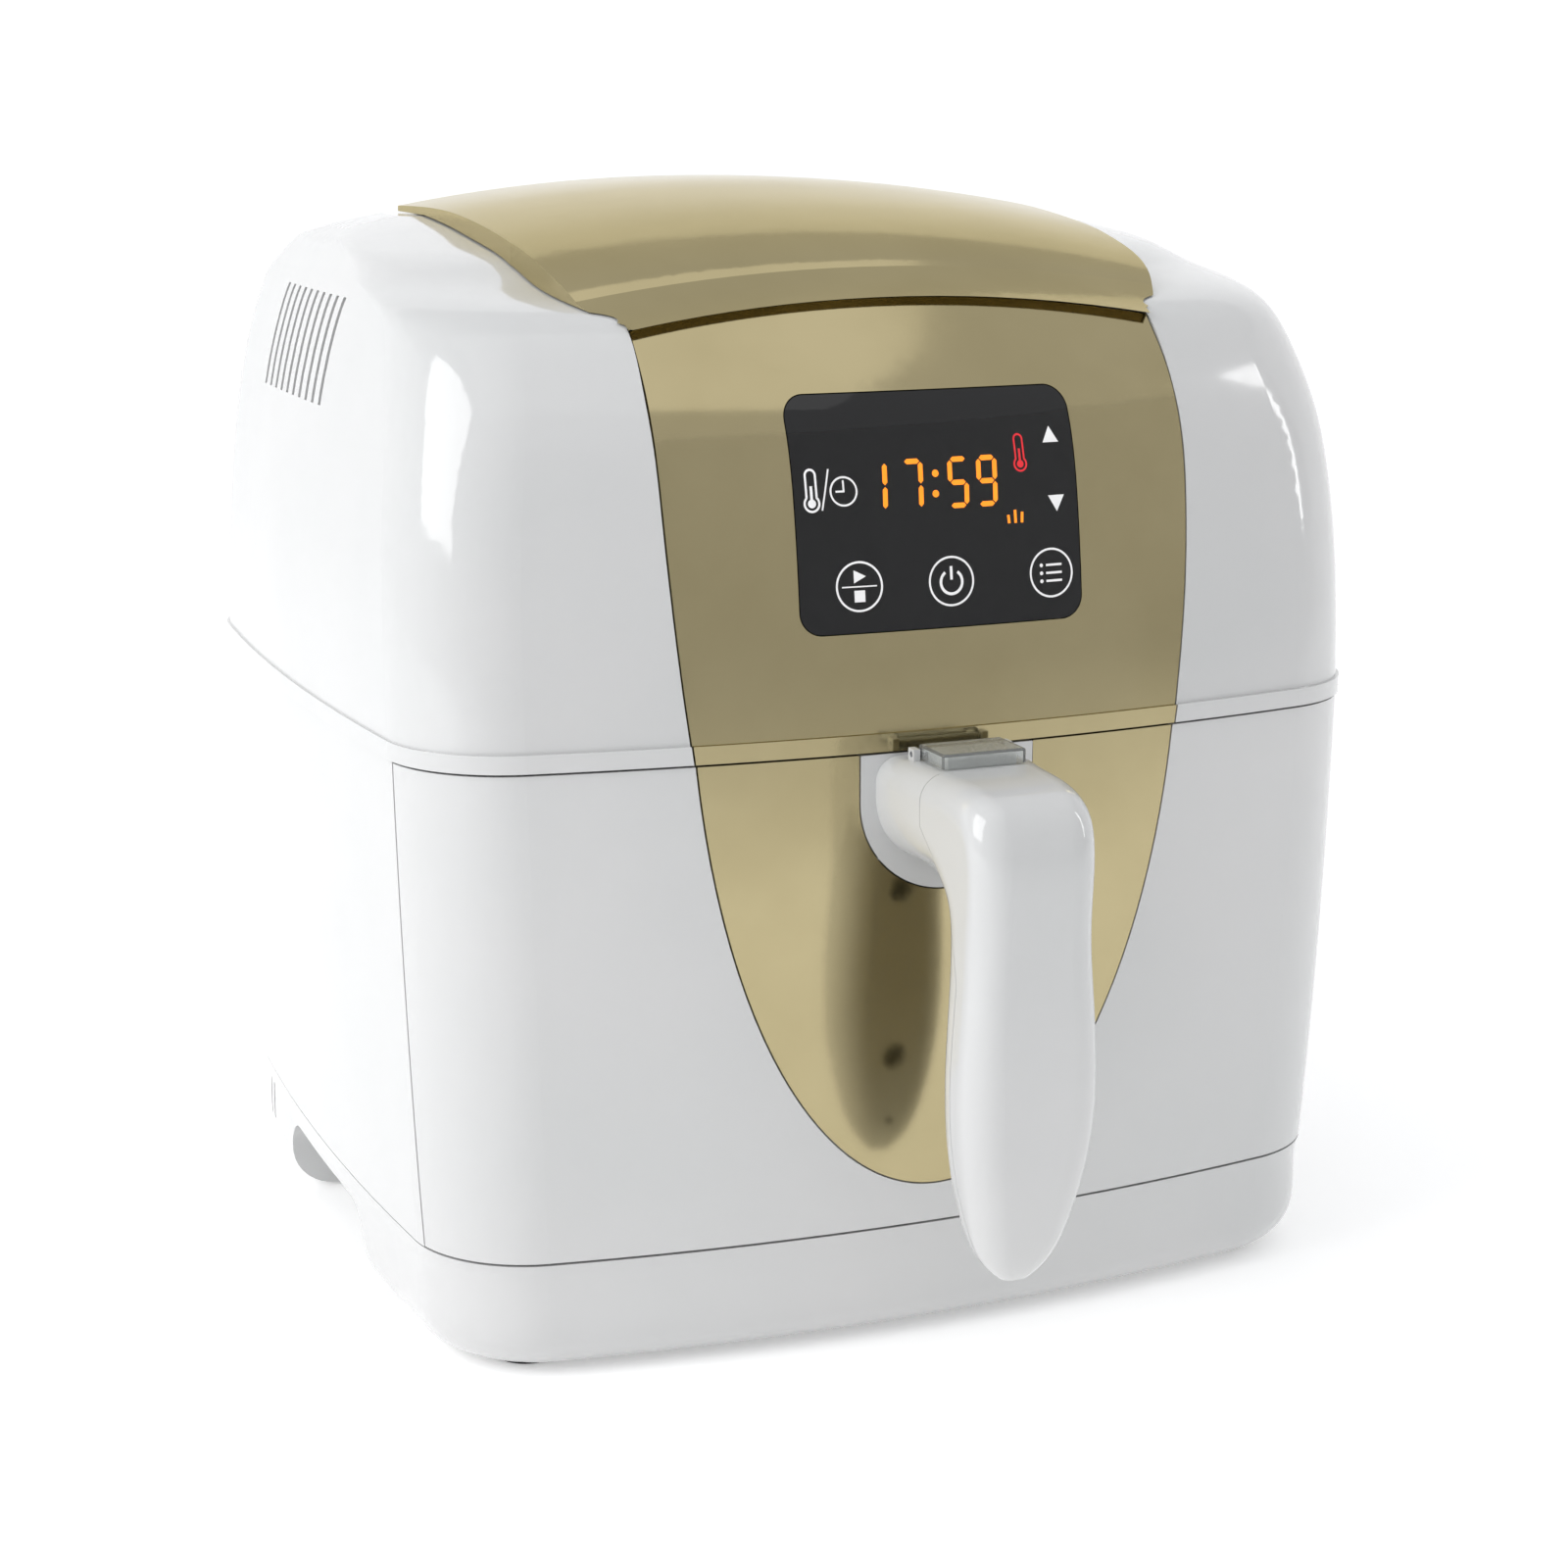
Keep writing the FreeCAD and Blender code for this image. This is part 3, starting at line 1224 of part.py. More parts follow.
pan_catch = plate("pan_catch", -12.0, 12.0, PIVOT_Y - 9.0, drawer_edge - BACK_PLATE, CATCH_Z, CATCH_THICK,
                  windows=[(-6.0, PIVOT_Y - 1.9, 6.0, PIVOT_Y + 9.0)])
place(pan_catch, "pan_catch")


def basket_bracket():
    """Steel bracket that carries the basket from inside the handle's tongue."""
    back = box(-24, 24, basket_front - 1.4, basket_front, basket_rim - 26, basket_rim - 6)
    arm_z = TONGUE_LOW + 6.0
    arm = box(-14, 14, TONGUE_REAR - 9.0, basket_front, arm_z, arm_z + 2.0)
    lip = box(-14, 14, TONGUE_REAR - 9.0, TONGUE_REAR - 7.0, TONGUE_LOW + 2.2, arm_z + 2.0)
    return back.fuse([arm, lip])


add_shape("basket_bracket", basket_bracket())

# ------------------------------------------------------------------ cooking chamber


def cooking_chamber():
    """Folded steel box, open at the front below the drawer seam."""
    x = chamber_half
    t = num("sheet_wall")
    y0 = -num("chamber_front")
    y1 = num("chamber_rear")
    z0 = num("chamber_floor")
    z1 = num("chamber_top")
    shape = box(-x, x, y0, y1, z0, z1).cut(box(-x + t, x - t, y0 + t, y1 - t, z0 + t, z1 - t))
    mouth = box(-x + t, x - t, y0 - 1, y0 + 2, z0 + t, seam.value - 1.5)
    shaft_hole = cylinder(8.0, Vector(0, num("rotor_y"), z1 - 5), Vector(0, 0, 1), 10)
    outlet = box(-28, 28, y1 - 5, y1 + 5, GRILLE_LOW + 3, GRILLE_HIGH - 3)
    leads = [cylinder(4.2, Vector(sx * 14, num("rotor_y") + 86.0, z1 - 5), Vector(0, 0, 1), 10)
             for sx in (-1, 1)]
    probe = cylinder(2.7, Vector(40, -50, z1 - 5), Vector(0, 0, 1), 10)
    return shape.cut(Part.makeCompound([mouth, shaft_hole, outlet, probe] + leads))


add_shape("cooking_chamber", cooking_chamber())

rail_top = num("pan_rim") - 1.5 - 0.4
for side_name, sx in (("left", -1), ("right", 1)):
    outer_x = sx * (chamber_half - num("sheet_wall"))
    inner_x = sx * (pan_half + 0.8)
    rail = plate(side_name + "_guide_rail", min(outer_x, inner_x), max(outer_x, inner_x),
                 -num("chamber_front") + 4.0, num("chamber_rear") - 12.0, rail_top - 4.0, 4.0)
    place(rail, side_name + "_guide_rail")

top_z = cell("chamber_top")
rotor_y = cell("rotor_y")
element_z = num("chamber_top") - 20.0


RING_OUTER = 86.0
RING_INNER = 75.0
TUBE_RADIUS = 3.3


def heating_element():
    """Two-ring tubular element with its terminals through the chamber top."""
    centre = Vector(0, num("rotor_y"), element_z)
    rings = [Part.makeTorus(radius, TUBE_RADIUS, centre) for radius in (RING_OUTER, RING_INNER)]
    bridge = cylinder(TUBE_RADIUS, centre + Vector(0, -RING_OUTER - 2.0, 0), Vector(0, 1, 0),
                      RING_OUTER - RING_INNER + 4.0)
    leads = [cylinder(TUBE_RADIUS, centre + Vector(sx * 14, RING_OUTER, 0), Vector(0, 0, 1), 30.0)
             for sx in (-1, 1)]
    return rings[0].fuse([rings[1], bridge] + leads)


add_shape("heating_element", heating_element())


CLIP_ANGLES = (30, 150, 210, 330)
CLIP_THICK = 1.2
CLIP_WIDTH = 6.0


def element_clip(angle):
    """Hanger: a strip between the two rings and a foot under both."""
    middle = (RING_OUTER + RING_INNER) / 2
    foot_top = element_z - TUBE_RADIUS
    hanger = box(middle - CLIP_THICK / 2, middle + CLIP_THICK / 2, -CLIP_WIDTH / 2, CLIP_WIDTH / 2,
                 foot_top - CLIP_THICK, num("chamber_top") - num("sheet_wall"))
    foot_plate = box(RING_INNER - TUBE_RADIUS, RING_OUTER + TUBE_RADIUS, -CLIP_WIDTH / 2, CLIP_WIDTH / 2,
                     foot_top - CLIP_THICK, foot_top)
    clip = hanger.fuse(foot_plate).removeSplitter()
    clip.rotate(Vector(0, 0, 0), Vector(0, 0, 1), angle)
    clip.translate(Vector(0, num("rotor_y"), 0))
    return clip


group("element_clips", [element_clip(angle) for angle in CLIP_ANGLES])


def element_guard():
    """Wire grid under the element, hung from the chamber top."""
    z = element_z - 9.0
    y = num("rotor_y")
    ring = Part.makeTorus(92.0, 1.3, Vector(0, y, z))
    wires = []
    for i in range(-4, 5):
        x = i * 19.0
        reach = math.sqrt(92.0 ** 2 - x ** 2)
        wires.append(cylinder(1.1, Vector(x, y - reach, z), Vector(0, 1, 0), 2 * reach))
    hangers = [cylinder(1.1, Vector(92.0 * math.cos(a), 92.0 * math.sin(a) + y, z), Vector(0, 0, 1),
                        num("chamber_top") - num("sheet_wall") - z)
               for a in [math.radians(45 + 90 * i) for i in range(4)]]
    return ring.fuse(wires + hangers)


add_shape("element_guard", element_guard())

# ------------------------------------------------------------------ motor and fans

bracket_z = top_z + 12.0
motor_low = bracket_z + 2.0
motor_high = motor_low + 30.0
running = cell("shaft_radius") + cell("shaft_clearance")
SCREW_RING = 28.0
BRACKET_HALF = 46.0

bracket_holes = [(sx * SCREW_RING * 0.7071, sy * SCREW_RING * 0.7071, 1.9) for sx in (-1, 1) for sy in (-1, 1)]
bracket = plate("motor_bracket", -BRACKET_HALF, BRACKET_HALF, -BRACKET_HALF, BRACKET_HALF, bracket_z, 2.0,
                holes=bracket_holes + [(0.0, 0.0, 9.0)])
legs = new_sketch(bracket, "XY_Plane", top_z)
for sx in (-1, 1):
    for sy in (-1, 1):
        circle(legs, sx * 40.0, sy * 40.0, 4.0)
pad(bracket, legs, bracket_z - top_z + 1.0)
place(bracket, "motor_bracket", y=rotor_y)

motor_radius = cell("motor_radius")
motor = turned("fan_motor", [
    (running, motor_low), (motor_radius, motor_low), (motor_radius, motor_high - 4),
    (motor_radius - 4, motor_high), (12.0, motor_high), (12.0, motor_high + 4), (running, motor_high + 4)])
place(motor, "fan_motor", y=rotor_y)
group("motor_screws", [screw(Vector(x, y + num("rotor_y"), bracket_z.value), Vector(0, 0, 1), 1.85, 2.0, 3.4, 2.0)
                       for x, y, _ in bracket_holes])

impeller_low = top_z - 13.0
impeller_high = top_z - 3.0
shaft_high = motor_high + 24.0
shaft = turned("motor_shaft", [
    (0.0, impeller_low - 5), (cell("shaft_radius"), impeller_low - 5), (cell("shaft_radius"), shaft_high),
    (0.0, shaft_high)])
place(shaft, "motor_shaft", y=rotor_y)


def bladed_wheel(name, low, high, radius, disc_top, blades, blade_root, lean):
    """Turned hub and disc with a ring of blades made by one pad and a polar pattern."""
    wheel = new_body(name)
    outline = new_sketch(wheel, "XZ_Plane")
    disc = high - 1.0 if disc_top else low + 1.0
    inner = cell("shaft_radius")
    if disc_top:
        points = [(inner, low), (9.0, low), (9.0, disc), (radius, disc), (radius, high), (inner, high)]
    else:
        points = [(inner, low), (blade_root, low), (blade_root, disc), (9.0, disc), (9.0, high), (inner, high)]
    polygon(outline, points)
    revolve(wheel, outline)
    blade = new_sketch(wheel, "XY_Plane", low)
    polygon(blade, [(blade_root - 3.0, 0.0), (radius - 1.0, lean), (radius - 1.0, lean + 1.2),
                    (blade_root - 3.0, 1.2)])
    fin = pad(wheel, blade, high - low)
    turn_axis = [f for f in wheel.Origin.OriginFeatures if f.Role == "Z_Axis"][0]
    pattern = wheel.newObject("PartDesign::PolarPattern", name + "_pattern")
    pattern.Originals = [fin]
    pattern.Axis = (turn_axis, [""])
    pattern.Angle = 360.0
    pattern.Occurrences = blades
    wheel.Tip = pattern
    return wheel


impeller = bladed_wheel("hot_air_impeller", impeller_low, impeller_high, cell("impeller_radius"), True, 12, 26.0, 12.0)
place(impeller, "hot_air_impeller", y=rotor_y)
fan_low = motor_high + 10.0
fan = bladed_wheel("cooling_fan", fan_low, fan_low + 9.0, cell("fan_radius"), False, 9, 16.0, 10.0)
place(fan, "cooling_fan", y=rotor_y)

shroud_in = cell("fan_radius") + 4.0
shroud = turned("cooling_shroud", [
    (shroud_in, fan_low - 3), (shroud_in + 2, fan_low - 3), (shroud_in + 2, fan_low + 12),
    (shroud_in, fan_low + 12)])
struts = new_sketch(shroud, "XY_Plane", bracket_z + 2.0)
for sx in (-1, 1):
    for sy in (-1, 1):
        circle(struts, (shroud_in + 1) * (sx * 0.7071), (shroud_in + 1) * (sy * 0.7071), 2.5)
pad(shroud, struts, fan_low - bracket_z)
place(shroud, "cooling_shroud", y=rotor_y)

# ------------------------------------------------------------------ air outlet, sensors, boards


def exhaust_duct():
    """Short duct from the chamber's rear wall to the outlet grille."""
    y0 = num("chamber_rear")
    tube = box(-31, 31, y0, 200, GRILLE_LOW, GRILLE_HIGH).cut(
        box(-29, 29, y0 - 1, 201, GRILLE_LOW + 2, GRILLE_HIGH - 2))
    return tube.common(upper_form(wall + 0.3))


add_shape("exhaust_duct", exhaust_duct())

sensor = turned("temperature_sensor", [
    (0.0, top_z - 10), (2.4, top_z - 10), (2.4, top_z), (5.0, top_z), (5.0, top_z + 2), (2.4, top_z + 2),
    (2.4, top_z + 9), (0.0, top_z + 9)])
place(sensor, "temperature_sensor", x=40.0, y=-50.0)

fuse_body = turned("thermal_fuse", [(0.0, top_z), (8.0, top_z), (8.0, top_z + 1), (6.0, top_z + 1),
                                    (6.0, top_z + 7), (0.0, top_z + 7)])
place(fuse_body, "thermal_fuse", x=76.0, y=40.0)

BOARD_X = (-114.0, -58.0)
BOARD_Y = (-54.0, 58.0)
board_z = top_z + 9.0
board_spots = [(x, y) for x in (BOARD_X[0] + 5, BOARD_X[1] - 5) for y in (BOARD_Y[0] + 5, BOARD_Y[1] - 5)]
power_board = plate("power_board", *BOARD_X, *BOARD_Y, board_z, 1.6, holes=[(x, y, 1.6) for x, y in board_spots])
place(power_board, "power_board")
group("board_standoffs", [cylinder(3.0, Vector(x, y, num("chamber_top")), Vector(0, 0, 1), 9.0)
                          for x, y in board_spots])


def power_components():
    """Relay, filter capacitor, transformer and terminal block on the power board."""
    z = board_z.value + 1.6
    capacitor = cylinder(8.0, Vector(-72, -34, z), Vector(0, 0, 1), 22.0)
    relay = box(-106, -87, -40, -24, z, z + 15)
    transformer = box(-104, -72, -8, 22, z, z + 24)
    terminals = box(-106, -66, 36, 46, z, z + 11)
    return [capacitor, relay, transformer, terminals]


group("power_components", power_components())

shield_y = -num("chamber_front") - 4.5
shield = standing_plate("heat_shield", -80.0, 80.0, seam + 6.0, seam + 96.0, shield_y, 1.0)
place(shield, "heat_shield")

# The control board leans back with the panel in front of it.
LEAN = 13.0
lean_turn = Rotation(Vector(1, 0, 0), -LEAN)
window_mid = (cell("window_base") + cell("window_height") / 2)
board_y = -(half_depth - 26.5)
BOARD_HALF = 47.0
BOARD_RISE = 33.0
control_spots = [(sx * 42.0, sz * 28.5) for sx in (-1, 1) for sz in (-1, 1)]
control_board = standing_plate("control_board", -BOARD_HALF, BOARD_HALF, -BOARD_RISE, BOARD_RISE, 0.0, 1.6,
                               holes=[(x, z, 1.7) for x, z in control_spots])
place(control_board, "control_board", y=board_y, z=window_mid, rotation=lean_turn)
display_module = standing_plate("display_module", -24.0, 24.0, -4.0, 22.0, -7.0, 7.0)
place(display_module, "display_module", y=board_y, z=window_mid, rotation=lean_turn)

KEY_SPOTS = [(-24.2, -18.4), (2.0, -18.5), (31.8, -18.2), (34.1, 16.5), (34.4, 0.0), (-31.0, 6.0)]
touch_frame = Placement(Vector(0, board_y.value, window_mid.value), lean_turn)


def leaning(solids):
    for solid in solids:
        solid.Placement = touch_frame.multiply(solid.Placement)
    return solids


group("touch_pads", leaning([cylinder(3.0, Vector(x, 0, z), Vector(0, -1, 0), 4.5) for x, z in KEY_SPOTS]))
group("board_screws", leaning([screw(Vector(x, 0, z), Vector(0, 1, 0), 1.6, 4.6, 2.8, 1.6)
                               for x, z in control_spots]))


def board_carrier():
    """Moulded frame behind the control board, resting on the heat shield."""
    frame = box(-BOARD_HALF, BOARD_HALF, 1.6, 5.0, -BOARD_RISE, BOARD_RISE)
    for x in (-33.0, 5.0):
        frame = frame.cut(box(x, x + 28.0, 0, 6, -12.0, 14.0))
    holes = leaning([cylinder(1.65, Vector(x, 0, z), Vector(0, 1, 0), 6) for x, z in control_spots])
    frame = leaning([frame])[0]
    strut_z = window_mid.value - BOARD_RISE - 8.0
    struts = []
    for sx in (-1, 1):
        x0 = sx * (BOARD_HALF - 9)
        x1 = sx * BOARD_HALF
        struts.append(box(min(x0, x1), max(x0, x1), board_y.value - 4, shield_y, strut_z, strut_z + 14))
    clear = leaning([box(-100, 100, -20, 1.6, -60, 60)])[0]
    return frame.fuse([s.cut(clear) for s in struts]).cut(Part.makeCompound(holes))


add_shape("board_carrier", board_carrier())

# ------------------------------------------------------------------ door switch and cord gland

PLUNGER_RADIUS = 1.2


def door_switch():
    """Microswitch on its shelf, plunger hole facing the drawer."""
    y0 = drawer_seam + 5.0
    shape = box(SWITCH_X - 4, SWITCH_X + 4, y0, y0 + 13, seam.value - 51.0, seam.value - 39.0)
    hole = cylinder(PLUNGER_RADIUS + 0.06, Vector(SWITCH_X, y0 - 1, SWITCH_Z), Vector(0, 1, 0), 8.0)
    return shape.cut(hole)


add_shape("door_switch", door_switch())
add_shape("switch_plunger", cylinder(PLUNGER_RADIUS, Vector(SWITCH_X, plunger_tip, SWITCH_Z), Vector(0, 1, 0),
                                     drawer_seam + 9.0 - plunger_tip))


def rear_wall_y(x, z):
    """Outer face of the lower rear wall behind a point."""
    ray = Part.makeLine(Vector(x, 40, z), Vector(x, 300, z))
    hit = lower_form().common(ray)
    return hit.BoundBox.YMax


gland_y = rear_wall_y(GLAND_X, GLAND_Z)


def cord_gland():
    """Flanged bush that guides the mains cord, grooved to fit the sloping rear wall."""
    here = Vector(GLAND_X, gland_y, GLAND_Z)
    back = Vector(0, 1, 0)
    barrel = cylinder(GLAND_RADIUS, here - back * 9.0, back, 14.0)
    flanges = cylinder(10.5, here - back * 7.0, back, 10.5)
    groove = lower_form(-0.1).cut(lower_form(wall + 0.1)).cut(barrel)
    bore = cylinder(num("cord_radius"), here - back * 20.0, back, 40.0)
    return barrel.fuse(flanges).cut(groove).cut(bore)


add_shape("cord_gland", cord_gland())

# ------------------------------------------------------------------ check and export

doc.recompute()
problems = []
for obj in doc.Objects:
    for state in ("Invalid", "Error"):
        if state in obj.State:
            problems.append("%s is %s" % (obj.Label, state))
for obj in nodes:
    if obj.Shape.isNull() or not obj.Shape.isValid() or not obj.Shape.Solids:
        problems.append("%s has no valid shape" % obj.Label)
if problems:
    raise RuntimeError("; ".join(problems))
for obj in nodes:
    obj.Shape.exportStep("parts/%s.step" % obj.Label)
    extent = obj.Shape.BoundBox
    print("%-20s solids %2d volume %9.0f  x %.1f..%.1f  y %.1f..%.1f  z %.1f..%.1f" % (
        obj.Label, len(obj.Shape.Solids), obj.Shape.Volume, extent.XMin, extent.XMax,
        extent.YMin, extent.YMax, extent.ZMin, extent.ZMax))
print(len(nodes), "sub-parts, depth shift", round(depth_shift.value, 3))
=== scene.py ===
# %% [markdown]
# # A hot-air fryer with a pull-out drawer
#
# The engineering model already holds every piece in its true place, so this lesson is about looks:
# what each surface is made of, what is printed on the display window, and how the studio is lit.
# We start by loading the fixed frame and noting its size.

import json
import math

import bmesh
import bpy
from mathutils import Matrix, Vector
from mathutils.bvhtree import BVHTree


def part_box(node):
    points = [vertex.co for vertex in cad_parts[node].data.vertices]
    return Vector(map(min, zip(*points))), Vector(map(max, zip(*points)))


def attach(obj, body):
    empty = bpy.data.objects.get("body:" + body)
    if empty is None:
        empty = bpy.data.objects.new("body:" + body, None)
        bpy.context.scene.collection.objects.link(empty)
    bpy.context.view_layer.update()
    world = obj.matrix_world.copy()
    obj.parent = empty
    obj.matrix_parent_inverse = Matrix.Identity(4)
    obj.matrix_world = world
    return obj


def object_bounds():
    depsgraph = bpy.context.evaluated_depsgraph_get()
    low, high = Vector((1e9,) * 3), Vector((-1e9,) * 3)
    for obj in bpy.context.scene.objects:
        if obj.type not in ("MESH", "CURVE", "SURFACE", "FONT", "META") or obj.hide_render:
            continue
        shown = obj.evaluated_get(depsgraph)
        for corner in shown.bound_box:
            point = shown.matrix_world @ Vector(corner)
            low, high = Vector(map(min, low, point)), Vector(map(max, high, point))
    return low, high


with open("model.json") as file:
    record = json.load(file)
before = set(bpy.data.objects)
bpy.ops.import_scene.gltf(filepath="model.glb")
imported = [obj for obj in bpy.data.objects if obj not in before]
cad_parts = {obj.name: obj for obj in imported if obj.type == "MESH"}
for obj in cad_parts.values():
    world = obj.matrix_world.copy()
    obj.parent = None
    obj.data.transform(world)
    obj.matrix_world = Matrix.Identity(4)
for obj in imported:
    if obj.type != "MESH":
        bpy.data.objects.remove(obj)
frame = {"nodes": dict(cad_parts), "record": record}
cad_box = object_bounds()
record = frame["record"]
MM = 0.001
print("pieces in the frame:", len(frame["nodes"]))
print("overall size in mm:", [round((high - low) / MM, 1) for low, high in zip(*cad_box)])

# %% [markdown]
# ## Colour and node helpers
#
# Colours are easiest to choose as sRGB hex codes, but a shader works in linear light, so one function
# converts them. A second small function adds any shader node together with its settings and links;
# writing it once keeps each material short enough to read in one go.

# %% Two helpers that every finish uses
CASING_WHITE = "#CACACA"


def linear(code):
    """An sRGB hex code as linear red, green, blue and alpha."""
    channels = [int(code[i:i + 2], 16) / 255 for i in (1, 3, 5)]
    return [c / 12.92 if c <= 0.04045 else ((c + 0.055) / 1.055) ** 2.4 for c in channels] + [1.0]


def add_node(tree, kind, settings=None, links=None):
    """A node with its settings; links maps an input to the output that feeds it."""
    node = tree.nodes.new(kind)
    for name, value in (settings or {}).items():
        if isinstance(name, int) or name in node.inputs:
            node.inputs[name].default_value = value
        else:
            setattr(node, name, value)
    for name, output in (links or {}).items():
        tree.links.new(output, node.inputs[name])
    return node


print("white plastic in linear light:", [round(c, 3) for c in linear(CASING_WHITE)])

# %% [markdown]
# ## What all moulded and painted surfaces share
#
# Nothing real is one flat colour. A moulding varies a little over a few centimetres where the melt
# flowed, its gloss varies in patches, and up close it has a texture: orange peel on gloss plastic,
# spark-eroded grain on matt plastic, spangle on zinc. Each finish below therefore states a broad
# variation and a fine grain, both in millimetres, and the shader does the rest.
# Image textures would need unwrapping; procedural noise in object space fits every piece at once.

# %% One function for a surface with broad variation and fine grain
# Noise seldom reaches 0 or 1, so these are the spans in which most of its values lie.
PATCH_SPAN = (0.35, 0.65)
GRAIN_SPAN = (0.3, 0.7)


def new_surface(name, colour, dark, roughness, grain_mm, relief_mm, patch_mm, settings=None):
    """Principled surface whose colour drifts between two codes and whose grain has a real size."""
    material = bpy.data.materials.new(name)
    material.use_nodes = True
    tree = material.node_tree
    tree.nodes.clear()
    place = add_node(tree, "ShaderNodeTexCoord").outputs["Object"]
    patches = add_node(tree, "ShaderNodeTexNoise", {"Scale": 1 / (patch_mm * MM), "Detail": 3.0},
                       {"Vector": place}).outputs["Fac"]
    grain = add_node(tree, "ShaderNodeTexNoise", {"Scale": 1 / (grain_mm * MM), "Detail": 2.0},
                     {"Vector": place}).outputs["Fac"]
    blend = add_node(tree, "ShaderNodeMapRange",
                     {"From Min": PATCH_SPAN[0], "From Max": PATCH_SPAN[1]}, {"Value": patches})
    tint = add_node(tree, "ShaderNodeMix", {"data_type": "RGBA", 6: linear(colour), 7: linear(dark)},
                    {0: blend.outputs["Result"]})
    low, high = roughness
    gloss = add_node(tree, "ShaderNodeMapRange",
                     {"From Min": GRAIN_SPAN[0], "From Max": GRAIN_SPAN[1],
                      "To Min": low, "To Max": high}, {"Value": grain})
    bump = add_node(tree, "ShaderNodeBump", {"Strength": 1.0, "Distance": relief_mm * MM},
                    {"Height": grain})
    shader = add_node(tree, "ShaderNodeBsdfPrincipled", settings,
                      {"Base Color": tint.outputs[2], "Roughness": gloss.outputs["Result"],
                       "Normal": bump.outputs["Normal"]})
    add_node(tree, "ShaderNodeOutputMaterial", links={"Surface": shader.outputs["BSDF"]})
    return material


finishes = {}

# %% [markdown]
# ## The white casing: injection-moulded gloss ABS
#
# The casing, base, drawer front and handle come out of polished steel moulds. ABS has an index of
# refraction near 1.53; the mould's polish leaves a mirror-like skin with a barely visible orange
# peel a few millimetres wide. The colour code is a neutral grey well below white: a bright room
# lifts it to white in the light and leaves it enough depth to show its form in the shade. A thin
# clear coat adds the sharper second reflection of the polished skin.

# %% Gloss white ABS
finishes["white_gloss_plastic"] = new_surface(
    "moulded_gloss_abs_white", CASING_WHITE, "#C6C7C7", (0.07, 0.12), 4.0, 0.004, 90.0,
    {"IOR": 1.53, "Coat Weight": 0.25, "Coat Roughness": 0.04})

# %% [markdown]
# ## The coloured panels: champagne metallic lacquer
#
# The top cover, front panel and drawer panel are ABS sprayed with a lacquer full of fine aluminium
# flakes, toned with a warm transparent dye. The flakes lie nearly flat under a clear top layer, so
# the panel mirrors its surroundings almost sharply: bright where it sees the lit background, a
# deeper olive-gold where it sees the darker front of the room. A metallic shader of low roughness
# gives that. Its tint colours the grazing reflections too, and the grain is 0.4 mm wide, coarser
# than real flakes, so that it survives at this size of picture.

# %% Champagne lacquer
finishes["champagne_metallic"] = new_surface(
    "champagne_flake_lacquer", "#B3A782", "#ADA17C", (0.09, 0.14), 0.4, 0.003, 40.0,
    {"Metallic": 1.0, "Specular Tint": linear("#EEE8D4")})

# %% [markdown]
# ## The display window: smoked hard-coated glass
#
# The window is black from behind, with a polished face that shows the studio's lights as crisp
# shapes. Its index of 1.52 is that of soda-lime glass. A very faint long ripple keeps the
# reflections from looking computed.

# %% Black window glass
finishes["black_display_glass"] = new_surface(
    "back_printed_black_glass", "#050506", "#08080A", (0.03, 0.05), 12.0, 0.002, 50.0, {"IOR": 1.52})

# %% [markdown]
# ## Clear polycarbonate: the hood over the release button
#
# The hood is a thin clear moulding. Polycarbonate bends light strongly (index 1.585) and yellows
# only a little, so it is a transmitting shader with almost no roughness.

# %% Clear polycarbonate
finishes["clear_plastic"] = new_surface(
    "clear_moulded_polycarbonate", "#F6F8F7", "#F0F3F2", (0.03, 0.06), 3.0, 0.002, 20.0,
    {"IOR": 1.585, "Transmission Weight": 0.92})

# %% [markdown]
# ## The plain plastics
#
# Inner mouldings are spark-eroded rather than polished, which scatters light: roughness rises to
# about a half, and a fine pitted grain about a millimetre wide shows at the edges of highlights.
# The release button and the rear grille are the same plastic in pale grey.

# %% Matt and satin plastics
finishes["pale_grey_plastic"] = new_surface(
    "satin_abs_pale_grey", "#DCDCDA", "#D4D5D4", (0.22, 0.32), 0.9, 0.006, 30.0, {"IOR": 1.53})
finishes["grey_plastic"] = new_surface(
    "spark_eroded_abs_grey", "#8C8D8E", "#7E7F81", (0.42, 0.58), 0.8, 0.02, 45.0, {"IOR": 1.53})
finishes["black_plastic"] = new_surface(
    "glass_filled_nylon_black", "#26262A", "#1B1B1E", (0.45, 0.62), 0.7, 0.025, 30.0, {"IOR": 1.53})
finishes["black_rubber"] = new_surface(
    "nitrile_rubber_black", "#222223", "#2C2B2A", (0.7, 0.88), 0.6, 0.03, 15.0, {"IOR": 1.52})
finishes["component_blue"] = new_surface(
    "epoxy_dipped_blue", "#2B4A86", "#223C6E", (0.25, 0.4), 1.5, 0.01, 12.0, {"IOR": 1.55})

# %% [markdown]
# ## The cooking space: coated and plated sheet
#
# The pan and basket carry a sprayed fluoropolymer, a soft black with fine pimples. The chamber is
# aluminised steel, whose coating freezes in blurred spangles; the rails and brackets are zinc
# plated. Metals keep the shader's default index and get their look from colour and roughness.

# %% Metals and coatings inside
finishes["nonstick_coating"] = new_surface(
    "sprayed_fluoropolymer_black", "#2E2E31", "#242426", (0.38, 0.52), 0.7, 0.03, 35.0, {"IOR": 1.38})
finishes["aluminised_sheet"] = new_surface(
    "aluminised_steel_sheet", "#C4C4C2", "#A9A9A8", (0.26, 0.42), 3.0, 0.01, 9.0, {"Metallic": 1.0})
finishes["zinc_steel"] = new_surface(
    "zinc_plated_steel", "#C3C7CA", "#AEB1B0", (0.22, 0.38), 1.2, 0.008, 8.0, {"Metallic": 1.0})
finishes["spring_steel"] = new_surface(
    "drawn_spring_steel", "#A9ABAE", "#8D8F93", (0.2, 0.34), 0.5, 0.006, 6.0, {"Metallic": 1.0})
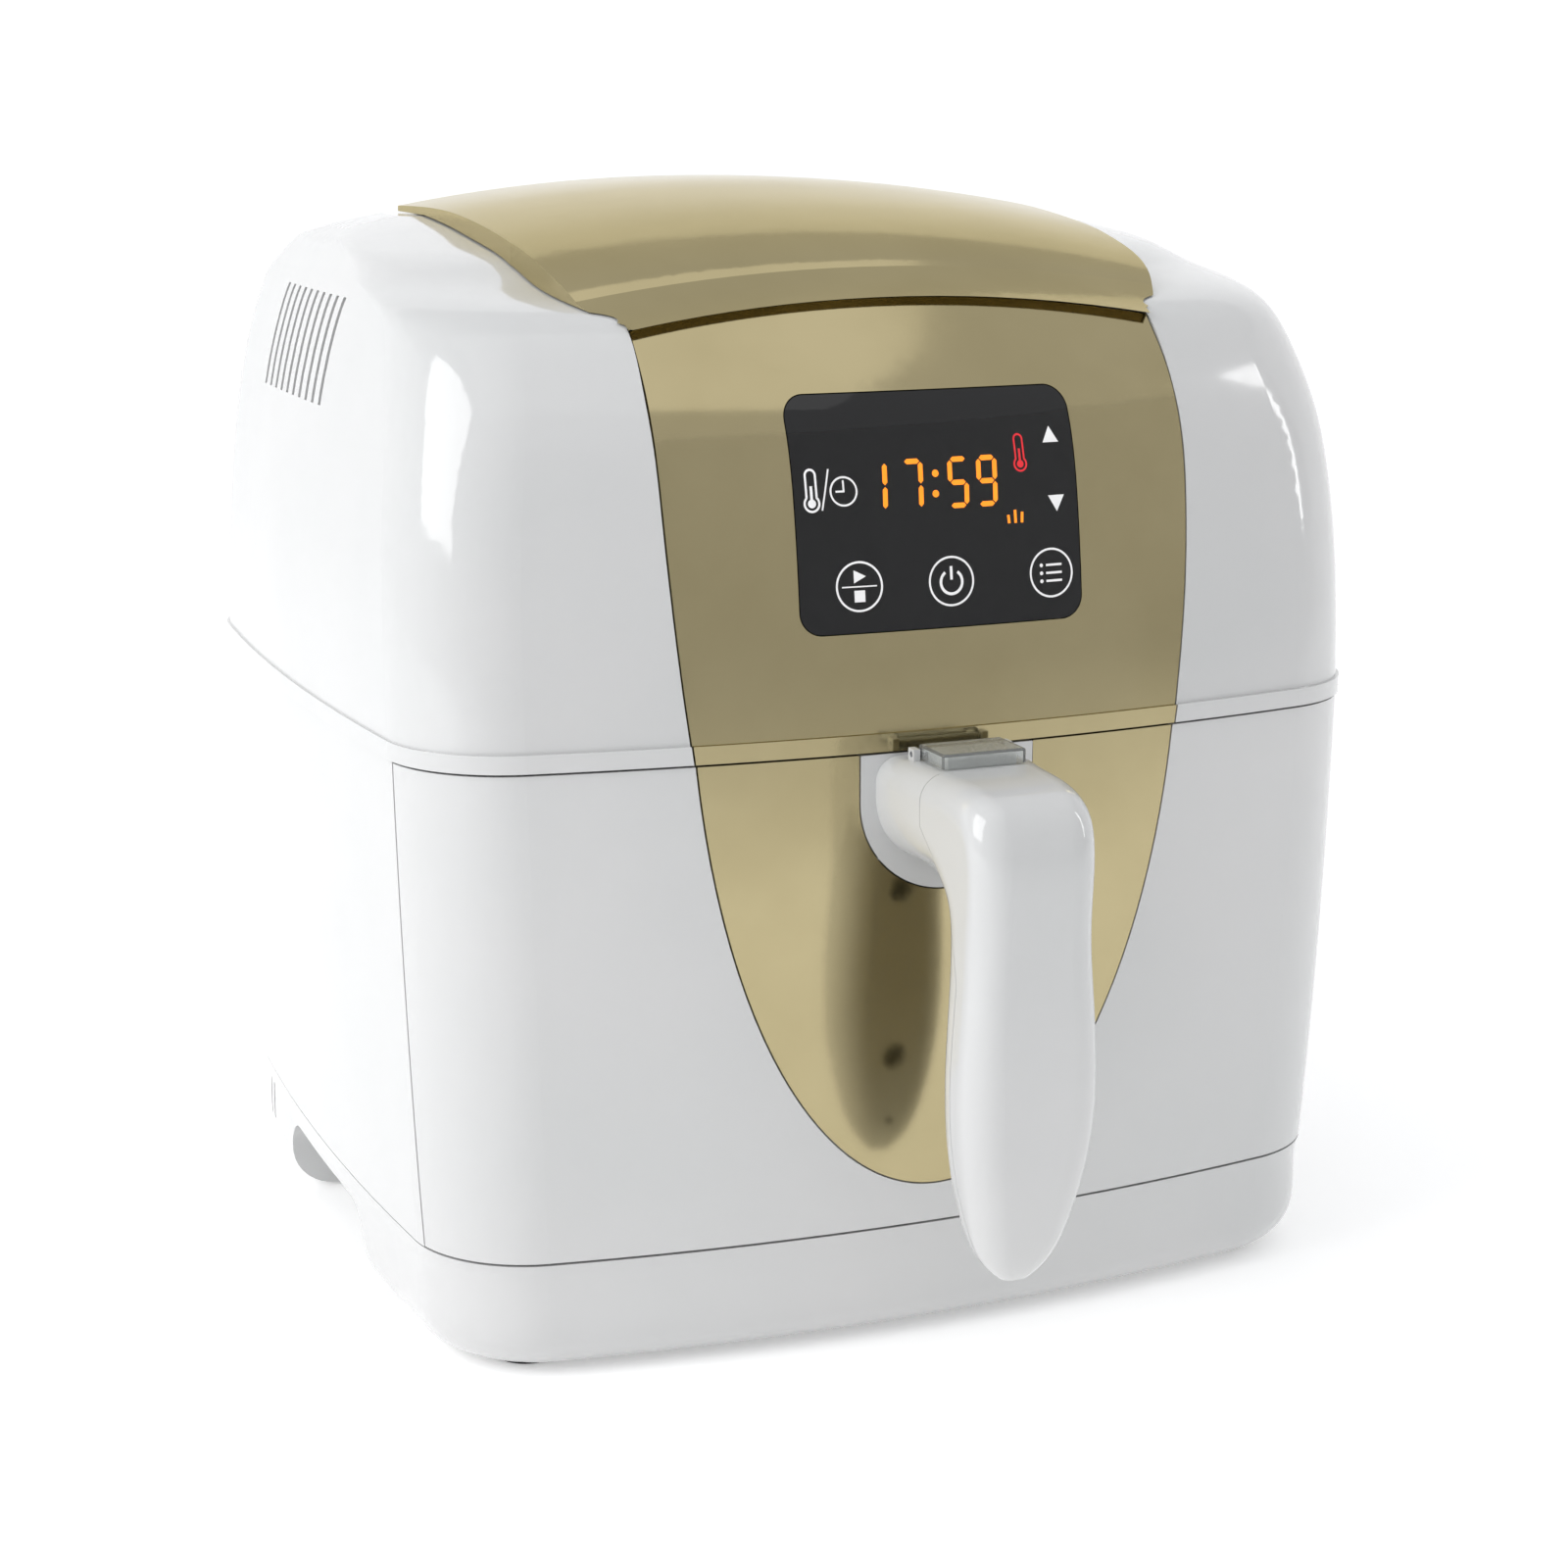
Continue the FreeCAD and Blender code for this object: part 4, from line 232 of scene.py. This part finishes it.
finishes["stainless_tube"] = new_surface(
    "heat_tinted_stainless_steel", "#8E857A", "#6F6A70", (0.3, 0.5), 1.0, 0.01, 14.0, {"Metallic": 1.0})
finishes["motor_paint"] = new_surface(
    "stoved_motor_enamel", "#4A4B4F", "#3E3F42", (0.3, 0.45), 1.4, 0.02, 25.0, {"IOR": 1.5})

# %% [markdown]
# ## Boards and shield
#
# The circuit boards are glass-epoxy under a green solder mask, in which the weave of the glass
# cloth shows faintly. The heat shield is pressed mica, a pearly flaking mineral board.

# %% Board and mica
finishes["circuit_board"] = new_surface(
    "solder_masked_glass_epoxy", "#1E6B3C", "#175731", (0.3, 0.42), 0.8, 0.015, 6.0, {"IOR": 1.55})
finishes["mica_sheet"] = new_surface(
    "pressed_mica_board", "#B9AC8F", "#9E9075", (0.35, 0.6), 2.5, 0.05, 7.0, {"IOR": 1.56})

# %% [markdown]
# ## Dress the frame's pieces
#
# The record names the finish of every piece, so each piece takes its finish from there. The meshes
# themselves are left exactly as the engineering model has them.

# %% Assign the finishes
for entry in record["subparts"]:
    piece = frame["nodes"][entry["node"]]
    if not piece.material_slots:
        piece.data.materials.append(None)
    for slot in piece.material_slots:
        slot.material = finishes[entry["material_slot"]]
print("finishes in use:", len({entry["material_slot"] for entry in record["subparts"]}))

# %% [markdown]
# ## Marks behind the window
#
# On the real window the keys are screen-printed in white on the back of the glass, and the clock is
# an orange seven-segment display shining through the smoked layer. The marks could be painted by a
# shader, but small flat meshes keep crisp edges at any distance and export cleanly. Each mark is
# drawn in millimetres, seen from the front, and then laid on the curved glass by casting a ray from
# the front for every corner.

# %% Find the glass surface from the front
glass = frame["nodes"]["display_window"]
glass_tree = BVHTree.FromObject(glass, bpy.context.evaluated_depsgraph_get())
LIFT = 0.06  # mm in front of the glass
RAY_START = -1.0  # m, well in front of the object


def on_glass(x, z):
    """The point just in front of the glass at that place, from millimetres to metres."""
    hit = glass_tree.ray_cast(Vector((x * MM, RAY_START, z * MM)), Vector((0, 1, 0)))[0]
    return Vector((hit.x, hit.y - LIFT * MM, hit.z))


low, high = [[value / MM for value in corner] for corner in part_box("display_window")]
print("window in mm: %.1f wide, %.1f high" % (high[0] - low[0], high[2] - low[2]))

# %% [markdown]
# ### Strokes
#
# Every mark is made of strokes: a bar between two points, an arc of a ring, or a filled outline.
# They return lists of outlines, which are then joined into one thin mesh per colour.

# %% Bars, arcs and filled outlines
LONGEST_PIECE = 1.0  # mm


def bar(x0, z0, x1, z1, width):
    """A straight stroke, cut into short lengths so that it can follow the curve of the glass."""
    start, run = Vector((x0, z0)), Vector((x1 - x0, z1 - z0))
    across = Vector((-run.y, run.x)).normalized() * (width / 2)
    count = max(1, math.ceil(run.length / LONGEST_PIECE))
    ends = [start + run * (i / count) for i in range(count + 1)]
    return [[a + across, a - across, b - across, b + across] for a, b in zip(ends, ends[1:])]


def ring_arc(x, z, radius, width, start=0.0, end=360.0, steps=48):
    """Part of a ring, from start to end in degrees counted from the right, anticlockwise."""
    count = max(4, round(steps * (end - start) / 360))
    spokes = []
    for i in range(count + 1):
        angle = math.radians(start + (end - start) * i / count)
        spokes.append(Vector((math.cos(angle), math.sin(angle))))
    middle = Vector((x, z))
    inner, outer = radius - width / 2, radius + width / 2
    return [[middle + a * inner, middle + a * outer, middle + b * outer, middle + b * inner]
            for a, b in zip(spokes, spokes[1:])]


def disc(x, z, radius, steps=20):
    """A filled circle."""
    turns = [2 * math.pi * i / steps for i in range(steps)]
    return [[Vector((x + radius * math.cos(t), z + radius * math.sin(t))) for t in turns]]


def outline(*points):
    """A filled outline through the points."""
    return [[Vector(p) for p in points]]


# %% [markdown]
# ### Key symbols
#
# Keys are told by symbols only: run and stop, power, a list of programs, up and down, and the
# switch between temperature and time. Symbols of this kind are used on all makes of appliance.

# %% Draw the white key symbols
KEY_RADIUS = 6.3
KEY_LINE = 0.55


def key(x, z):
    """The ring round a key."""
    return ring_arc(x, z, KEY_RADIUS, KEY_LINE)


def run_stop_key(x, z):
    """A triangle over a square, with a line between them."""
    triangle = outline((x - 1.5, z + 0.9), (x + 1.9, z + 2.6), (x - 1.5, z + 4.3))
    square = outline((x - 1.5, z - 4.0), (x + 1.5, z - 4.0), (x + 1.5, z - 1.0), (x - 1.5, z - 1.0))
    return key(x, z) + bar(x - 4.9, z, x + 4.9, z, 0.35) + triangle + square


def power_key(x, z):
    """An open ring with a bar in its gap."""
    line = 0.75
    return key(x, z) + ring_arc(x, z - 0.2, 3.1, line, 125, 415) + bar(x, z + 0.4, x, z + 3.9, line)


def program_key(x, z):
    """Three lines of a list, each with its dot."""
    spacing = 2.1
    lines = []
    for i in (-1, 0, 1):
        row = z + i * spacing
        lines += bar(x - 1.6, row, x + 3.2, row, 0.6) + disc(x - 3.0, row, 0.5)
    return key(x, z) + lines


def thermometer(x, z, size):
    """Outline of a thermometer with a filled bulb; size is its height."""
    bulb = z - 0.30 * size
    half = 0.13 * size
    line = 0.055 * size
    stem_top = z + 0.38 * size
    shape = ring_arc(x, bulb, 0.19 * size, line, 130, 410) + disc(x, bulb, 0.105 * size)
    shape += ring_arc(x, stem_top, half, line, 0, 180)
    for side in (-1, 1):
        shape += bar(x + side * half, bulb + 0.14 * size, x + side * half, stem_top, line)
    return shape + bar(x, bulb, x, z + 0.12 * size, 0.07 * size)


def small_clock(x, z, radius):
    """A clock face with its two hands."""
    line = 0.5
    long_hand = bar(x, z - 0.2, x, z + radius * 0.78, line)
    short_hand = bar(x + 0.2, z, x - radius * 0.62, z, line)
    return ring_arc(x, z, radius, line) + long_hand + short_hand


marks = run_stop_key(-24.2, 212.7) + power_key(2.0, 212.6) + program_key(31.8, 212.9)
marks += outline((31.7, 246.9), (36.5, 246.9), (34.1, 251.1))
marks += outline((31.9, 233.2), (34.4, 228.9), (36.8, 233.2))
marks += thermometer(-36.0, 237.6, 10.6)
marks += bar(-33.3, 232.6, -30.9, 243.0, 0.45)
marks += small_clock(-27.1, 237.2, 3.6)
print("white strokes:", len(marks))

# %% [markdown]
# ### The seven-segment clock
#
# Each digit is seven bars with pointed ends, leaning slightly to the right as such displays do.
# The digits light bars by the usual letters: a at the top, then clockwise, g in the middle.

# %% Draw the lit digits
DIGIT_WIDTH = 6.1
DIGIT_HEIGHT = 13.2
DIGIT_FOOT = 231.4
DIGIT_PLACES = (("1", -21.2), ("7", -11.0), ("5", 2.2), ("9", 10.6))
SEGMENT = 1.35
SEGMENT_GAP = 0.22
LEAN = 0.05
COLON_DOT = 0.95
LEVEL_BARS = (2.2, 3.4, 2.8)
LEVEL_FOOT = 226.6
LIT = {"1": "bc", "5": "acdfg", "7": "abc", "9": "abcdfg"}


def lit_digit(character, x, z):
    """Outlines of one digit whose lower left corner is at x, z."""
    w, h, t, gap = DIGIT_WIDTH, DIGIT_HEIGHT, SEGMENT, SEGMENT_GAP
    shapes = {}
    for letter, level in (("a", h - t / 2), ("g", h / 2), ("d", t / 2)):
        shapes[letter] = [(t / 2 + gap, level), (t + gap, level + t / 2), (w - t - gap, level + t / 2),
                          (w - t / 2 - gap, level), (w - t - gap, level - t / 2),
                          (t + gap, level - t / 2)]
    for letter, side, base in (("f", t / 2, h / 2), ("b", w - t / 2, h / 2),
                               ("e", t / 2, 0), ("c", w - t / 2, 0)):
        foot = base + (t / 2 if base == 0 else 0) + gap
        head = base + h / 2 - (t / 2 if base else 0) - gap
        shapes[letter] = [(side, foot), (side + t / 2, foot + t / 2), (side + t / 2, head - t / 2),
                          (side, head), (side - t / 2, head - t / 2), (side - t / 2, foot + t / 2)]
    return [[Vector((x + px + pz * LEAN, z + pz)) for px, pz in shapes[letter]]
            for letter in LIT[character]]


clock_marks = []
for character, x in DIGIT_PLACES:
    clock_marks += lit_digit(character, x, DIGIT_FOOT)
clock_marks += disc(-1.2, 235.4, COLON_DOT) + disc(-0.9, 240.6, COLON_DOT)
for i, rise in enumerate(LEVEL_BARS):
    clock_marks += bar(19.8 + i * 1.9, LEVEL_FOOT, 19.6 + i * 2.1, LEVEL_FOOT + rise, 0.8)
print("orange strokes:", len(clock_marks))

# %% [markdown]
# ### Inks and lit segments
#
# The white marks are screen-printing ink. The clock and the warning thermometer are lit from
# behind, so they emit light; their strength is kept low, so that the colour stays saturated
# instead of burning out.

# %% Ink and light materials
printing_ink = new_surface("screen_printing_ink_white", "#FAFAFA", "#F2F2F2",
                           (0.35, 0.5), 0.5, 0.002, 8.0)
amber_light = new_surface("amber_segment_light", "#F28A1C", "#E97F16", (0.4, 0.5), 0.6, 0.001, 5.0,
                          {"Emission Color": linear("#F5860F"), "Emission Strength": 0.75})
red_light = new_surface("red_segment_light", "#C8202A", "#B81B24", (0.4, 0.5), 0.6, 0.001, 5.0,
                        {"Emission Color": linear("#D01F2A"), "Emission Strength": 0.45})


def lay_marks(name, outlines, material):
    """One thin mesh from the outlines, laid on the glass."""
    shape = bmesh.new()
    for points in outlines:
        shape.faces.new([shape.verts.new(on_glass(p.x, p.y)) for p in points])
    bmesh.ops.recalc_face_normals(shape, faces=shape.faces)
    mesh = bpy.data.meshes.new(name)
    shape.to_mesh(mesh)
    shape.free()
    if mesh.polygons[0].normal.y > 0:
        mesh.flip_normals()
    piece = bpy.data.objects.new(name, mesh)
    bpy.context.scene.collection.objects.link(piece)
    mesh.materials.append(material)
    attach(piece, "housing")


# %% Lay them on the glass
lay_marks("key_symbols", marks, printing_ink)
lay_marks("clock_digits", clock_marks, amber_light)
lay_marks("heat_symbol", thermometer(24.3, 244.6, 9.4), red_light)
print("marks laid on the glass")

# %% [markdown]
# ## The studio
#
# The object stands on a seamless white sweep: a floor that curves up into a wall all round, so
# there is no hard horizon from any side. It is a surface of revolution, made by turning one profile.
#
# Its finish changes from back to front, as in a studio where the background is lit on its own.
# Under and behind the object the sweep glows faintly, which keeps the background white. Far in
# front it is painted a little darker: gloss and metal surfaces that face forward mirror that part,
# and the darker tone gives them depth. Both changes are gradual.

# %% Seamless sweep
FLAT_RADIUS = 2.6
BEND_RADIUS = 1.4
WALL_TOP = 3.2
BEND_STEPS = 10
TURNS = 64
GLOW = 0.25
GLOW_SPAN = (-0.9, -0.5)  # m from front to back: no glow, full glow
PAINT_SPAN = (-1.7, -1.0)  # m from front to back: darker paint, light paint
profile = [(0.0, 0.0), (FLAT_RADIUS, 0.0)]
profile += [(FLAT_RADIUS + BEND_RADIUS * math.sin(a), BEND_RADIUS * (1 - math.cos(a)))
            for a in [math.radians(90 / BEND_STEPS * i) for i in range(1, BEND_STEPS + 1)]]
profile.append((FLAT_RADIUS + BEND_RADIUS, WALL_TOP))
corners = [(r * math.cos(2 * math.pi * i / TURNS), r * math.sin(2 * math.pi * i / TURNS), z)
           for r, z in profile for i in range(TURNS)]
faces = [(row * TURNS + i, row * TURNS + (i + 1) % TURNS,
          (row + 1) * TURNS + (i + 1) % TURNS, (row + 1) * TURNS + i)
         for row in range(len(profile) - 1) for i in range(TURNS)]
sweep_mesh = bpy.data.meshes.new("studio_sweep")
sweep_mesh.from_pydata(corners, [], faces)
sweep_mesh.shade_smooth()
sweep = bpy.data.objects.new("studio_sweep", sweep_mesh)
bpy.context.scene.collection.objects.link(sweep)
backlit_sweep = new_surface("backlit_studio_sweep", "#F4F4F4", "#F2F2F2", (0.8, 0.9), 5.0, 0.0, 400.0,
                            {"Emission Color": linear("#FFFFFF")})
tree = backlit_sweep.node_tree
sweep_inputs = tree.nodes["Principled BSDF"].inputs
sweep_place = add_node(tree, "ShaderNodeTexCoord").outputs["Object"]
sweep_y = add_node(tree, "ShaderNodeSeparateXYZ", links={"Vector": sweep_place}).outputs["Y"]
glow = add_node(tree, "ShaderNodeMapRange",
                {"From Min": GLOW_SPAN[0], "From Max": GLOW_SPAN[1], "To Max": GLOW}, {"Value": sweep_y})
tree.links.new(glow.outputs["Result"], sweep_inputs["Emission Strength"])
shade = add_node(tree, "ShaderNodeMapRange",
                 {"From Min": PAINT_SPAN[0], "From Max": PAINT_SPAN[1]}, {"Value": sweep_y})
paint = add_node(tree, "ShaderNodeMix",
                 {"data_type": "RGBA", 6: linear("#E2E2E2"), 7: linear("#F4F4F4")},
                 {0: shade.outputs["Result"]})
tree.links.new(paint.outputs[2], sweep_inputs["Base Color"])
sweep_mesh.materials.append(backlit_sweep)
print("sweep radius in m:", FLAT_RADIUS + BEND_RADIUS)

# %% [markdown]
# ## Light
#
# Gloss plastic is lit by what it mirrors. A large soft box on the left draws the upright highlight
# on the front corner, a narrow strip on the right draws a thin one on the right shoulder, and a
# weak overhead box adds light from above. The world adds an even pale fill, so that no surface
# mirrors black.

# %% Soft boxes and fill
BOX_DISTANCE = 1.9
FILL = 0.8
centre = Vector([(a + b) / 2 for a, b in zip(*cad_box)])


def soft_box(name, azimuth, elevation, distance, width, height, watts):
    """A rectangular light aimed at the object from an azimuth and elevation in degrees."""
    a, e = math.radians(azimuth), math.radians(elevation)
    back = Vector((-math.sin(a) * math.cos(e), -math.cos(a) * math.cos(e), math.sin(e)))
    light = bpy.data.lights.new(name, "AREA")
    light.shape = "RECTANGLE"
    light.size = width
    light.size_y = height
    light.energy = watts
    lamp = bpy.data.objects.new(name, light)
    lamp.location = centre + back * distance
    lamp.rotation_euler = back.to_track_quat("Z", "Y").to_euler()
    bpy.context.scene.collection.objects.link(lamp)


soft_box("key_box_left", 80, 30, BOX_DISTANCE, 1.1, 1.5, 20)
soft_box("overhead_box", 10, 78, BOX_DISTANCE, 1.8, 1.8, 4)
soft_box("strip_right", -64, 22, BOX_DISTANCE, 0.12, 1.2, 3)
world = bpy.data.worlds.new("pale_fill")
world.use_nodes = True
fill_inputs = world.node_tree.nodes["Background"].inputs
fill_inputs["Color"].default_value = linear("#F5F6F8")
fill_inputs["Strength"].default_value = FILL
bpy.context.scene.world = world
bpy.context.scene.view_settings.view_transform = "Standard"

# %% [markdown]
# ## Camera
#
# The view is a three-quarter one from the front left, a little above the object's top, with a
# short telephoto lens that keeps the uprights nearly parallel. The axes of the camera are written
# out as a matrix, which is exact, where a look-at constraint would only aim at a point.

# %% Place the camera
CAMERA_PLACE = (-0.34165, -0.8225, 0.34368)
CAMERA_BACK = (-0.3709, -0.9004, 0.2275)
LENS_MM = 70.3
SENSOR_MM = 36.0
back = Vector(CAMERA_BACK).normalized()
right = Vector((0, 0, 1)).cross(back).normalized()
up = back.cross(right)
camera_data = bpy.data.cameras.new("camera")
camera_data.lens = LENS_MM
camera_data.sensor_width = SENSOR_MM
camera = bpy.data.objects.new("camera", camera_data)
turn = Matrix((right, up, back)).transposed().to_4x4()
camera.matrix_world = Matrix.Translation(CAMERA_PLACE) @ turn
bpy.context.scene.collection.objects.link(camera)
bpy.context.scene.camera = camera
print("camera distance in m:", round((camera.location - centre).length, 3))
